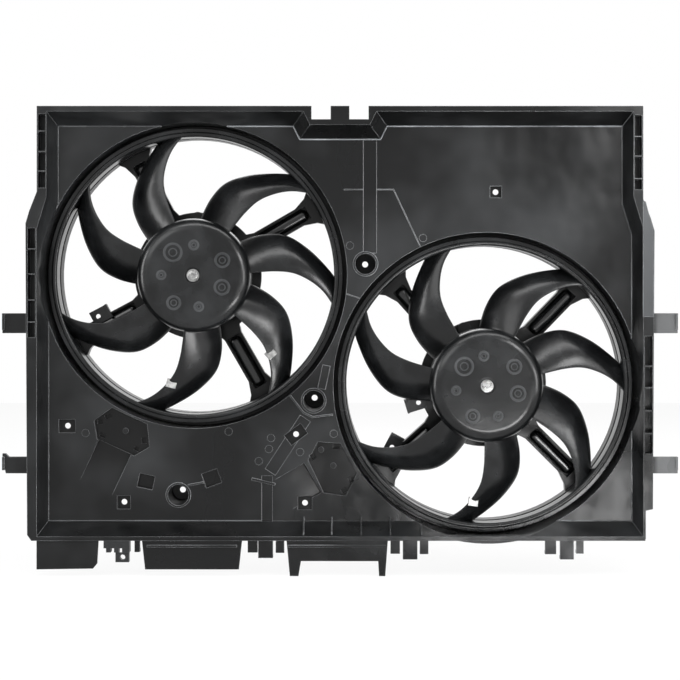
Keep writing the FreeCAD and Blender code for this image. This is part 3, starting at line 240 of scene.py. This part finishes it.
shroudLook = {
    "dark": 0.003, "light": 0.016, "paintedEdgeLight": 0.12, "edge": 0.0011,
    "shine": 0.36, "rough": 0.32, "flowRough": 0.3, "cloudRough": 0.4,
    "cloudScale": 5.0, "cloudLow": 0.35, "cloudHigh": 0.7, "sag": 0.012,
    "flowScale": 9.0, "flowShare": 0.5, "flowStretch": (1.0, 1.0, 0.35),
    "grainScale": 1400.0, "grainShare": 0.5, "relief": 0.00012,
}
# on the tray these paint highlight lines along edges, shade in pockets and cups, and light at its right end
trayLook = dict(shroudLook, light=0.022, shine=0.27, paintedEdgeLight=0.32, cloudLow=0.45, cloudHigh=0.72, cloudScale=6.5,
                paleFrom=0.3465, pale=0.08, deepFrom=-0.0534, deep=0.0012)
fanLook = dict(shroudLook, dark=0.004, light=0.024, paintedEdgeLight=0.05, edge=0.0008, shine=0.32, rough=0.23,
               flowRough=0.1, cloudRough=0.1, cloudScale=19.0, cloudLow=0.45, cloudHigh=0.85, sag=0.001,
               flowScale=14.0, relief=0.00008)
beadLook = dict(shroudLook, dark=0.002, light=0.006, shine=0.5, rough=0.2, paintedEdgeLight=0.02)
# painted highlight: lighter colours for the rolled edges, bright on the top run and dimmer on the side runs
dimHighlightLook = dict(shroudLook, dark=0.015, light=0.08, cloudScale=12.0, rough=0.25, shine=0.5)
brightHighlightLook = dict(dimHighlightLook, dark=0.07, light=0.3)
markLook = dict(fanLook, dark=0.022, light=0.06, rough=0.4)
trimLook = dict(shroudLook, dark=0.03, light=0.065, paintedEdgeLight=0.2, rough=0.45)
blackNylonLook = dict(shroudLook, dark=0.01, rough=0.42, edge=0.0006)
coatedSteelLook = dict(shroudLook, dark=0.014, light=0.022, paintedEdgeLight=0.06, edge=0.001, rough=0.28, flowRough=0.08,
                       relief=0.00006)
phenolicLook = dict(shroudLook, dark=0.05, light=0.08, rough=0.5, edge=0.0004)
zincLook = {
    "dark": grey(0.22), "light": tone(0.55, 0.55, 0.54), "metal": 1.0, "rough": 0.3, "roughShift": 0.25,
    "lineScale": 900.0, "lineDetail": 3.0, "stretch": (1.0, 1.0, 0.2), "relief": 0.00006, "edge": 0.0004,
    "spotScale": 260.0, "spotStops": ((0.3, 0.0), (0.75, 1.0)),
}
steelLook = dict(zincLook, dark=grey(0.35), rough=0.25)
coreLook = dict(zincLook, dark=grey(0.2), light=tone(0.3, 0.3, 0.29), rough=0.45, stretch=(0.1, 6.0, 0.1))
springLook = dict(zincLook, dark=grey(0.17), light=tone(0.45, 0.45, 0.44), rough=0.38)
copperLook = dict(zincLook, dark=tone(0.55, 0.24, 0.12), light=tone(0.8, 0.42, 0.25), rough=0.32)
ferriteLook = dict(zincLook, dark=grey(0.04), light=grey(0.07), rough=0.6, metal=0.2)
carbonLook = dict(ferriteLook, dark=grey(0.02), light=grey(0.04), metal=0.0)

finishes = {
    "black_polypropylene": mouldedPlastic("shroud plastic", trayLook),
    "fan_polyamide": mouldedPlastic("fan plastic", fanLook),
    "fan_marks": mouldedPlastic("fan plastic, scuffed", markLook),
    "arm_beads": mouldedPlastic("shroud plastic, polished", beadLook),
    "painted_highlight_bright": mouldedPlastic("shroud plastic, painted bright highlight", brightHighlightLook),
    "painted_highlight_dim": mouldedPlastic("shroud plastic, painted dim highlight", dimHighlightLook),
    "grey_trim": mouldedPlastic("grey trim plastic", trimLook),
    "black_nylon": mouldedPlastic("black nylon", blackNylonLook),
    "painted_steel": mouldedPlastic("black motor paint", coatedSteelLook),
    "phenolic": mouldedPlastic("brush plate board", phenolicLook),
    "zinc_plated_steel": blankMetal("zinc plate", zincLook),
    "bearing_steel": blankMetal("bearing steel", steelLook),
    "core_steel": blankMetal("core laminations", coreLook),
    "spring_steel": blankMetal("bright spring strip", springLook),
    "copper": blankMetal("copper", copperLook),
    "ferrite": blankMetal("magnet ferrite", ferriteLook),
    "carbon": blankMetal("brush carbon", carbonLook),
}
print("finishes made:", len(finishes))


def finished(name, work, slotName, body, sharpAngle=32.0, look=None):    # look: a finish other than its slot's
    mesh = bpy.data.meshes.new(name)
    work.normal_update()
    for face in work.faces:
        face.smooth = True
    for edge in work.edges:
        edge.smooth = edge.calc_face_angle(0.0) < math.radians(sharpAngle)
    work.to_mesh(mesh)
    work.free()
    mesh.materials.append(finishes[look or slotName])
    piece = bpy.data.objects.new(name, mesh)
    bpy.context.scene.collection.objects.link(piece)
    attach(piece, body)
    even = piece.modifiers.new("even shading", "WEIGHTED_NORMAL")
    even.keep_sharp = True
    return piece


copied = {"weld": 0.002, "flatAngle": 0.4, "sharpAngle": 19.0}    # mm and degrees


def smoothCopy(node, slotName, body):    # the CAD node again, with shared corners and smooth round walls
    work = bmesh.new()
    work.from_mesh(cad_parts[node].data)
    bmesh.ops.remove_doubles(work, verts=work.verts[:], dist=copied["weld"] * mm)
    bmesh.ops.dissolve_limit(work, angle_limit=math.radians(copied["flatAngle"]), verts=work.verts[:],
                             edges=work.edges[:])
    piece = finished(node + "_shell", work, slotName, body, sharpAngle=copied["sharpAngle"])
    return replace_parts(piece, node)


smoothNodes = {
    "black_polypropylene": ("shroud", "fan_ducts", "motor_brackets"),
    "grey_trim": ("side_cover",),
    "painted_steel": ("motor_cans", "motor_end_covers"),
    "black_nylon": ("connector_sockets", "wire_guides", "wiring_clip"),
}
for slotName, nodes in smoothNodes.items():
    for node in nodes:
        smoothCopy(node, slotName, shroudBody)

inside = {
    "magnets": "ferrite", "front_bearings": "bearing_steel", "rear_bearings": "bearing_steel",
    "brush_plates": "phenolic", "brushes": "carbon", "brush_springs": "spring_steel",
    "motor_screws": "zinc_plated_steel",
}
turning = {"armature_core": "core_steel", "windings": "copper", "commutator": "copper",
           "motor_shaft": "bearing_steel", "hub_insert": "bearing_steel", "fan_screw": "zinc_plated_steel",
           "balance_clips": "spring_steel"}
for side in sides:
    for part, slotName in turning.items():
        inside[side + "_" + part] = slotName
for node, slotName in inside.items():
    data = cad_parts[node].data
    data.materials.clear()
    data.materials.append(finishes[slotName])
print("shroud and motors dressed")


hub = {                              # mm, with depths back from the rim; a round is its size and its segments
    "radius": 69.0, "front": 8.0, "rear": 63.0, "wall": 3.0, "rounding": 16.0, "roundSteps": 10, "innerSteps": 6,
    "recessRadius": 9.6, "recessDepth": 4.0, "recessRound": (0.8, 3), "rearRound": (0.8, 2),
    "bossRadius": 15.0, "bossRear": 30.0, "boreRadius": 8.0,
}
band = {                             # mm, as for the hub
    "inner": 170.0, "wall": 2.6, "front": 42.0, "rear": 67.0, "innerRound": (4.0, 6), "rearRound": (0.8, 2),
    "bead": 175.6, "beadSlope": 0.5, "beadRound": (1.2, 3), "step": 1.2,
    "lip": 181.0, "lipWall": 3.6, "lipRound": (1.0, 3),
}
blades = {                           # radii and depths in mm, angles in degrees
    "firstAngle": {"left": 125.5, "right": 134.2},
    "gaps": (59.0, 48.0, 47.0, 56.0, 50.0, 56.0),
    "radii": (68.0, 82.0, 98.0, 119.0, 139.0, 157.0, 170.8),
    "rearEdge": (19.9, 16.6, 12.8, 6.5, -3.5, -12.9, -19.3),
    "frontEdge": (-16.0, -15.6, -15.6, -17.0, -20.8, -25.4, -30.2),
    "rootDepth": (25.0, 61.0), "tipDepth": (44.5, 65.5),
    "rootSeat": 2.0, "tipSeat": 1.5,     # how far a blade reaches into the hub and the band
    "thickness": 2.8, "edgeShare": 0.43, "edgeRounding": 0.8, "edgeSteps": 2, "camber": 4.5,
    "chordSteps": 14, "spanSteps": 30,
}


def stationValue(radii, values, radius):    # an even curve through the measured stations
    last = len(radii) - 2
    spot = max(i for i in range(last + 1) if radius >= radii[i] or i == 0)
    span = radii[spot + 1] - radii[spot]
    share = (radius - radii[spot]) / span

    def slope(i):
        low, high = max(i - 1, 0), min(i + 1, last + 1)
        return (values[high] - values[low]) / (radii[high] - radii[low])

    start, finish = slope(spot) * span, slope(spot + 1) * span
    rise = values[spot + 1] - values[spot]
    curve = start + finish - 2 * rise
    bend = 3 * rise - 2 * start - finish
    return values[spot] + share * (start + share * (bend + share * curve))


def fullness(share):                 # 1 in the middle of a blade's chord, 0 at its two edges
    return 4 * share * (1 - share)


def bladePoint(share, radius):       # share runs from the front edge to the rear edge
    inner, outer = blades["radii"][0], blades["radii"][-1]
    reach = (radius - inner) / (outer - inner)
    front = math.radians(stationValue(blades["radii"], blades["frontEdge"], radius))
    rear = math.radians(stationValue(blades["radii"], blades["rearEdge"], radius))
    depths = zip(blades["rootDepth"], blades["tipDepth"])
    frontDepth, rearDepth = (root + (tip - root) * reach for root, tip in depths)
    angle = front + (rear - front) * share
    depth = frontDepth + (rearDepth - frontDepth) * share - blades["camber"] * fullness(share)
    return Vector((radius * math.cos(angle), depth, radius * math.sin(angle)))


seamGap = 0.001                      # mm: points nearer than this on a turned shape are one


def revolved(profile, closed, steps=turnSteps):    # radius and depth from the rim, turned about the fan's axis
    work = bmesh.new()
    verts = [work.verts.new((radius * mm, depth * mm, 0.0)) for radius, depth in profile]
    edges = [work.edges.new(pair) for pair in zip(verts, verts[1:])]
    if closed:
        edges.append(work.edges.new((verts[-1], verts[0])))
    bmesh.ops.spin(work, geom=verts + edges, cent=(0, 0, 0), axis=(0, 1, 0), dvec=(0, 0, 0),
                   angle=math.tau, steps=steps, use_merge=True)
    bmesh.ops.remove_doubles(work, verts=work.verts[:], dist=seamGap * mm)
    bmesh.ops.recalc_face_normals(work, faces=work.faces[:])
    return work


def roundRing(work, radius, depth, size, segments):    # rounds the ring of edges at one corner of the profile
    near = 0.05 * mm
    picked = []
    for edge in work.edges:
        ends = [(math.hypot(v.co.x, v.co.z), v.co.y) for v in edge.verts]
        if all(abs(r - radius * mm) < near and abs(y - depth * mm) < near for r, y in ends):
            picked.append(edge)
    bmesh.ops.bevel(work, geom=picked, offset=size * mm, offset_type="OFFSET", segments=segments, profile=0.5,
                    affect="EDGES", material=-1)


def settled(work, side):             # from the fan's own axis to its place in the frame
    centre = fanAxis(side)
    bmesh.ops.translate(work, verts=work.verts[:], vec=(centre.x, -boltY * mm, centre.z))


def fanHub(side):
    size = hub
    inner = size["radius"] - size["wall"]
    innerFace = size["front"] + size["wall"]
    recess = size["front"] + size["recessDepth"]
    work = revolved([
        (size["recessRadius"], size["front"]), (size["radius"], size["front"]), (size["radius"], size["rear"]),
        (inner, size["rear"]), (inner, innerFace), (size["bossRadius"], innerFace),
        (size["bossRadius"], size["bossRear"]), (size["boreRadius"], size["bossRear"]),
        (size["boreRadius"], recess), (size["recessRadius"], recess),
    ], closed=True)
    roundRing(work, size["radius"], size["front"], size["rounding"], size["roundSteps"])
    roundRing(work, inner, innerFace, size["rounding"] - size["wall"], size["innerSteps"])
    roundRing(work, size["recessRadius"], size["front"], *size["recessRound"])
    roundRing(work, size["radius"], size["rear"], *size["rearRound"])
    settled(work, side)
    piece = finished(side + "_fan_hub", work, "fan_polyamide", side + "_rotor")
    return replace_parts(piece, side + "_fan")


def fanBand(side):
    size = band
    outer = size["inner"] + size["wall"]
    lip = size["front"] + size["step"]
    lipBack = size["front"] + size["lipWall"]
    work = revolved([
        (size["inner"], size["front"]), (size["bead"], size["front"]), (size["bead"] + size["beadSlope"], lip),
        (size["lip"], lip), (size["lip"], lipBack), (outer, lipBack), (outer, size["rear"]),
        (size["inner"], size["rear"]),
    ], closed=True)
    roundRing(work, size["inner"], size["front"], *size["innerRound"])
    roundRing(work, size["bead"], size["front"], *size["beadRound"])
    roundRing(work, size["lip"], lip, *size["lipRound"])
    roundRing(work, size["lip"], lipBack, *size["rearRound"])
    roundRing(work, size["inner"], size["rear"], *size["rearRound"])
    settled(work, side)
    return finished(side + "_fan_band", work, "fan_polyamide", side + "_rotor")


def fanBlades(side):
    size = blades
    first = hub["radius"] - size["rootSeat"]
    last = band["inner"] + size["tipSeat"]
    angles = [size["firstAngle"][side]]
    for gap in size["gaps"]:
        angles.append(angles[-1] - gap)
    work = bmesh.new()
    weights = []
    for degrees in angles:
        made = bmesh.ops.create_grid(work, x_segments=size["chordSteps"], y_segments=size["spanSteps"], size=0.5)
        for vert in made["verts"]:           # the grid is 1 wide, and its middle is at 0
            share = vert.co.x + 0.5
            weights.append(fullness(share))
            vert.co = bladePoint(share, first + (last - first) * (vert.co.y + 0.5)) * mm
        turn = Matrix.Rotation(math.radians(-degrees), 3, "Y")
        bmesh.ops.rotate(work, cent=(0, 0, 0), matrix=turn, verts=made["verts"])
    bmesh.ops.recalc_face_normals(work, faces=work.faces[:])
    settled(work, side)
    piece = finished(side + "_fan_blades", work, "fan_polyamide", side + "_rotor", softAngle)
    thick = piece.vertex_groups.new(name="thick")
    for index, weight in enumerate(weights):
        thick.add([index], weight, "REPLACE")
    wall = piece.modifiers.new("wall", "SOLIDIFY")
    wall.thickness = size["thickness"] * mm
    wall.offset = 0.0
    wall.vertex_group = "thick"
    wall.thickness_vertex_group = size["edgeShare"]
    edge = piece.modifiers.new("edge", "BEVEL")
    edge.width = size["edgeRounding"] * mm
    edge.segments = size["edgeSteps"]
    edge.limit_method = "ANGLE"
    edge.angle_limit = math.radians(softAngle)
    edge.profile = 0.5
    return piece


hubMarks = {                         # where the mould's gates and pins touched each hub face
    "turn": {"left": 0.0, "right": 8.7},
    "spots": ((36.6, 131.0, 10.4), (36.5, 88.0, 5.2), (40.0, 27.0, 8.2), (38.0, -22.3, 8.6),
              (38.5, -79.0, 5.0), (40.3, -124.7, 7.6), (38.0, 179.5, 4.8)),
    "rings": (1.0, 0.45), "width": 3.4, "rise": 0.3, "steps": 40,    # an outer ring, and an inner one to scale
}
ringSection = {"flatShare": 0.2, "sink": 0.1}    # half of a ring's flat top to its width, and mm into the face


def raisedRing(radius, width, rise, base, steps):    # a soft low ring on a face at the depth of base
    half, flat = width / 2, width * ringSection["flatShare"]
    foot, top = base + ringSection["sink"], base - rise
    profile = [(radius - half, foot), (radius - flat, top), (radius + flat, top), (radius + half, foot)]
    return revolved(profile, closed=True, steps=steps)


def addTo(whole, part, x, z):        # moves a part to its place and puts it into the whole
    bmesh.ops.translate(part, verts=part.verts[:], vec=(x * mm, 0.0, z * mm))
    mesh = bpy.data.meshes.new("part")
    part.to_mesh(mesh)
    part.free()
    whole.from_mesh(mesh)
    bpy.data.meshes.remove(mesh)


def hubFaceMarks(side):
    size = hubMarks
    whole = bmesh.new()
    for reach, degrees, radius in size["spots"]:
        angle = math.radians(degrees + size["turn"][side])
        for share in size["rings"]:
            ring = raisedRing(radius * share, size["width"] * share, size["rise"], hub["front"], size["steps"])
            addTo(whole, ring, reach * math.cos(angle), reach * math.sin(angle))
    settled(whole, side)
    return finished(side + "_fan_hub_marks", whole, "fan_polyamide", side + "_rotor", softAngle, "fan_marks")


screw = {                            # radii and heights in mm
    "height": 4.6, "head": 5.9, "headRound": (1.3, 4), "shank": 3.0, "steps": 96,
    "flange": 7.7, "flangeThickness": 1.3, "flangeRound": (0.4, 2),
    "drive": 2.6, "driveDepth": 2.6, "lobes": 6, "lobe": 0.55, "land": 0.4,
}


def fanScrew(side):                  # a flanged head with a six-lobe socket
    size = screw
    low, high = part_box(side + "_fan_screw")
    front = low.y / mm + boltY
    tip = high.y / mm + boltY
    seat = front + size["height"]
    step = seat - size["flangeThickness"]
    work = revolved([
        (size["drive"] + size["lobe"] + size["land"], front), (size["head"], front), (size["head"], step),
        (size["flange"], step), (size["flange"], seat), (size["shank"], seat), (size["shank"], tip), (0.0, tip),
    ], closed=False, steps=size["steps"])
    roundRing(work, size["head"], front, *size["headRound"])
    roundRing(work, size["flange"], step, *size["flangeRound"])
    for depth in (0.0, size["driveDepth"]):
        rim = [edge for edge in work.edges if edge.is_boundary]
        made = bmesh.ops.extrude_edge_only(work, edges=rim)
        for vert in (part for part in made["geom"] if isinstance(part, bmesh.types.BMVert)):
            angle = math.atan2(vert.co.z, vert.co.x)
            reach = (size["drive"] + size["lobe"] * math.cos(size["lobes"] * angle)) * mm
            vert.co = (reach * math.cos(angle), (front + depth) * mm, reach * math.sin(angle))
    bmesh.ops.holes_fill(work, edges=[edge for edge in work.edges if edge.is_boundary])
    bmesh.ops.recalc_face_normals(work, faces=work.faces[:])
    settled(work, side)
    piece = finished(side + "_fan_screw_head", work, "zinc_plated_steel", side + "_rotor")
    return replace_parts(piece, side + "_fan_screw")


for side in sides:
    fanHub(side)
    fanBand(side)
    fanBlades(side)
    hubFaceMarks(side)
    fanScrew(side)
print("fans made")


pinMarks = {                         # where the mould's ejector pins touched the floor, x and z in mm
    "spots": ((-309.8, -114.0), (12.0, 114.1), (100.8, 123.3), (-135.7, -112.3), (-84.1, -120.1),
              (-86.6, -133.5), (-48.8, -137.1), (-7.8, -114.9), (-99.1, -148.3)),
    "floor": 28.0, "radius": 4.6, "width": 1.0, "rise": 0.3, "steps": 32,
}


def floorPinMarks():
    size = pinMarks
    whole = bmesh.new()
    for x, z in size["spots"]:
        ring = raisedRing(size["radius"], size["width"], size["rise"], size["floor"], size["steps"])
        addTo(whole, ring, x - boltX, z - boltZ)
    bmesh.ops.translate(whole, verts=whole.verts[:], vec=(0.0, -boltY * mm, 0.0))
    return finished("shroud_pin_marks", whole, "black_polypropylene", shroudBody, softAngle)


edgeRoll = {                         # the rolled edge at the foot of the tray's slopes, x and z in mm
    "radius": 1.15, "floor": 28.2, "steps": 12, "ballDivisions": 2,
    "top": (((-137.0, 259.4), (-57.0, 259.4), (-49.0, 243.4), (49.0, 243.4), (57.0, 259.4), (343.4, 259.4)),),
    "sides": (((-343.4, 164.5), (-343.4, 259.4), (-218.0, 259.4)),
              ((343.4, 259.4), (343.4, 164.5), (354.9, 126.5), (354.9, 1.0)),
              ((354.9, -112.5), (354.9, -220.9), (264.0, -220.9)),
              ((-354.9, 21.0), (-354.9, -220.9), (-96.0, -220.9))),
}


def rolledEdge(part, look):          # round runs with a ball at each corner
    size = edgeRoll
    radius = size["radius"] * mm
    upright = Vector((0.0, 0.0, 1.0))
    whole = bmesh.new()
    for path in size[part]:
        for start, stop in zip(path, path[1:]):
            run = Vector((stop[0] - start[0], 0.0, stop[1] - start[1]))
            turn = upright.rotation_difference(run.normalized()).to_matrix()
            made = bmesh.ops.create_cone(whole, cap_ends=True, segments=size["steps"], radius1=radius,
                                         radius2=radius, depth=run.length * mm)
            bmesh.ops.rotate(whole, cent=(0, 0, 0), matrix=turn, verts=made["verts"])
            middle = point((start[0] + stop[0]) / 2, (start[1] + stop[1]) / 2, size["floor"])
            bmesh.ops.translate(whole, verts=made["verts"], vec=middle)
        for x, z in path:
            made = bmesh.ops.create_icosphere(whole, subdivisions=size["ballDivisions"], radius=radius)
            bmesh.ops.translate(whole, verts=made["verts"], vec=point(x, z, size["floor"]))
    return finished("shroud_rolled_edge_" + part, whole, "black_polypropylene", shroudBody, softAngle, look)


armBead = {                          # the rounded spine in each bracket arm's channel: radii and depths in mm
    "angles": {"left": (30.0, 118.0, 208.0, 300.0), "right": (46.0, 132.0, 222.0, 315.0)},
    "from": 88.0, "to": 157.5, "front": 77.5, "back": 92.6, "width": 14.6, "rounding": 6.6, "segments": 8,
}


def armBeads(side):
    size = armBead
    centre = fanAxis(side)
    length = size["to"] - size["from"]
    depth = size["back"] - size["front"]
    whole = bmesh.new()
    for degrees in size["angles"][side]:
        bead = bmesh.new()
        bmesh.ops.create_cube(bead, size=mm)
        bmesh.ops.scale(bead, verts=bead.verts[:], vec=(length, depth, size["width"]))
        bmesh.ops.bevel(bead, geom=bead.edges[:], offset=size["rounding"] * mm, offset_type="OFFSET",
                        segments=size["segments"], profile=0.5, affect="EDGES", material=-1)
        middle = Vector(((size["from"] + length / 2) * mm, (size["front"] + depth / 2 - boltY) * mm, 0.0))
        bmesh.ops.translate(bead, verts=bead.verts[:], vec=middle)
        turn = Matrix.Rotation(math.radians(-degrees), 3, "Y")
        bmesh.ops.rotate(bead, cent=(0, 0, 0), matrix=turn, verts=bead.verts[:])
        addTo(whole, bead, 0.0, 0.0)
    bmesh.ops.translate(whole, verts=whole.verts[:], vec=(centre.x, 0.0, centre.z))
    name = side + "_bracket_arm_beads"
    return finished(name, whole, "black_polypropylene", shroudBody, softAngle, "arm_beads")


floorPinMarks()
# the rolled edges carry painted highlight lines, bright along the top and dimmer down the sides
rolledEdge("top", "painted_highlight_bright")
rolledEdge("sides", "painted_highlight_dim")
for side in sides:
    armBeads(side)
print("mould marks made")


camera = {                           # x, z and distance in mm, near and far in metres
    "x": 12.0, "z": 60.0, "distance": 2000.0, "lens": 88.24, "sensor": 36.0, "near": 0.05, "far": 50.0,
    "shiftX": -0.0147, "shiftY": -0.0735,
}
stage = {
    "floorSize": 6.0, "floorDrop": 0.0005, "shadowShare": 0.12, "worldLight": 0.55,
    "paperScale": 60.0, "paperDark": 0.9, "paperLight": 0.94, "paperRough": 0.9,
}
lamps = {                            # watts, and metres wide and high
    "front left": {"at": (-1.7, -2.2, 1.3), "wide": 1.6, "high": 1.6, "power": 26.0},
    "front right": {"at": (2.0, -1.8, 0.9), "wide": 1.0, "high": 1.4, "power": 13.0},
    "top strip": {"at": (0.1, -0.7, 1.7), "wide": 2.4, "high": 0.35, "power": 20.0},
    "left strip": {"at": (-1.9, -0.6, 0.1), "wide": 0.35, "high": 1.4, "power": 16.0},
    "right strip": {"at": (1.5, -0.9, -0.05), "wide": 0.4, "high": 0.6, "power": 8.0},
    "low right": {"at": (0.75, -1.1, -0.28), "wide": 0.9, "high": 0.12, "power": 1.2},
    "low glint": {"at": (0.24, -0.52, -0.33), "wide": 0.3, "high": 0.07, "power": 1.7},
    "high glint": {"at": (0.52, -0.55, 0.27), "wide": 0.2, "high": 0.2, "power": 1.8},
    "behind": {"at": (0.2, 1.6, 1.2), "wide": 1.6, "high": 1.6, "power": 18.0},
}


def photoCamera():
    data = bpy.data.cameras.new("photo camera")
    data.lens = camera["lens"]
    data.sensor_width = camera["sensor"]
    data.shift_x = camera["shiftX"]
    data.shift_y = camera["shiftY"]
    data.clip_start = camera["near"]
    data.clip_end = camera["far"]
    holder = bpy.data.objects.new("photo camera", data)
    bpy.context.scene.collection.objects.link(holder)
    holder.location = point(camera["x"], camera["z"], -camera["distance"])
    holder.rotation_euler = (math.radians(90.0), 0.0, 0.0)
    bpy.context.scene.camera = holder


def seenAsWhite(tree):               # 1 for the camera, reflections and glass, 0 for the light on the object
    path = tree.nodes.new("ShaderNodeLightPath")
    seen, glossy, through = (Link(tree, path.outputs["Is " + ray + " Ray"])
                             for ray in ("Camera", "Glossy", "Transmission"))
    return seen + glossy + through


def paleStage():
    low = cadBox[0]
    work = bmesh.new()
    bmesh.ops.create_grid(work, x_segments=2, y_segments=2, size=stage["floorSize"] / 2)
    bmesh.ops.translate(work, verts=work.verts[:], vec=(0.0, 0.0, low.z - stage["floorDrop"]))
    mesh = bpy.data.meshes.new("floor")
    work.to_mesh(mesh)
    work.free()
    floor = bpy.data.objects.new("floor", mesh)
    bpy.context.scene.collection.objects.link(floor)
    finish = Finish("pale floor")
    paper = finish.blend(finish.noise(stage["paperScale"]), grey(stage["paperDark"]), grey(stage["paperLight"]))
    finish.set(Base_Color=paper, Roughness=stage["paperRough"])
    glow = finish.tree.nodes.new("ShaderNodeEmission")
    mix = finish.tree.nodes.new("ShaderNodeMixShader")
    share = seenAsWhite(finish.tree) * (1.0 - stage["shadowShare"])    # the rest keeps the object's shadow
    finish.tree.links.new(share.out, mix.inputs[0])
    finish.tree.links.new(finish.shader.outputs[0], mix.inputs[1])
    finish.tree.links.new(glow.outputs[0], mix.inputs[2])
    finish.tree.links.new(mix.outputs[0], finish.output.inputs[0])
    mesh.materials.append(finish.material)


def studioWorld():
    world = bpy.data.worlds.new("white studio")
    bpy.context.scene.world = world
    world.use_nodes = True
    tree = world.node_tree
    tree.nodes.clear()
    output = tree.nodes.new("ShaderNodeOutputWorld")
    background = tree.nodes.new("ShaderNodeBackground")
    strength = seenAsWhite(tree) * (1.0 - stage["worldLight"]) + stage["worldLight"]
    tree.links.new(strength.out, background.inputs["Strength"])
    tree.links.new(background.outputs[0], output.inputs[0])
    background.inputs["Color"].default_value = (1.0, 1.0, 1.0, 1.0)


def softLamps():
    centre = (cadBox[0] + cadBox[1]) / 2
    for name, look in lamps.items():
        data = bpy.data.lights.new(name, "AREA")
        data.shape = "RECTANGLE"
        data.size = look["wide"]
        data.size_y = look["high"]
        data.energy = look["power"]
        lamp = bpy.data.objects.new(name, data)
        bpy.context.scene.collection.objects.link(lamp)
        lamp.location = look["at"]
        aim = centre - Vector(look["at"])
        lamp.rotation_euler = aim.to_track_quat("-Z", "Y").to_euler()


photoCamera()
paleStage()
studioWorld()
softLamps()
bpy.context.scene.view_settings.view_transform = "Standard"
print("stage set")
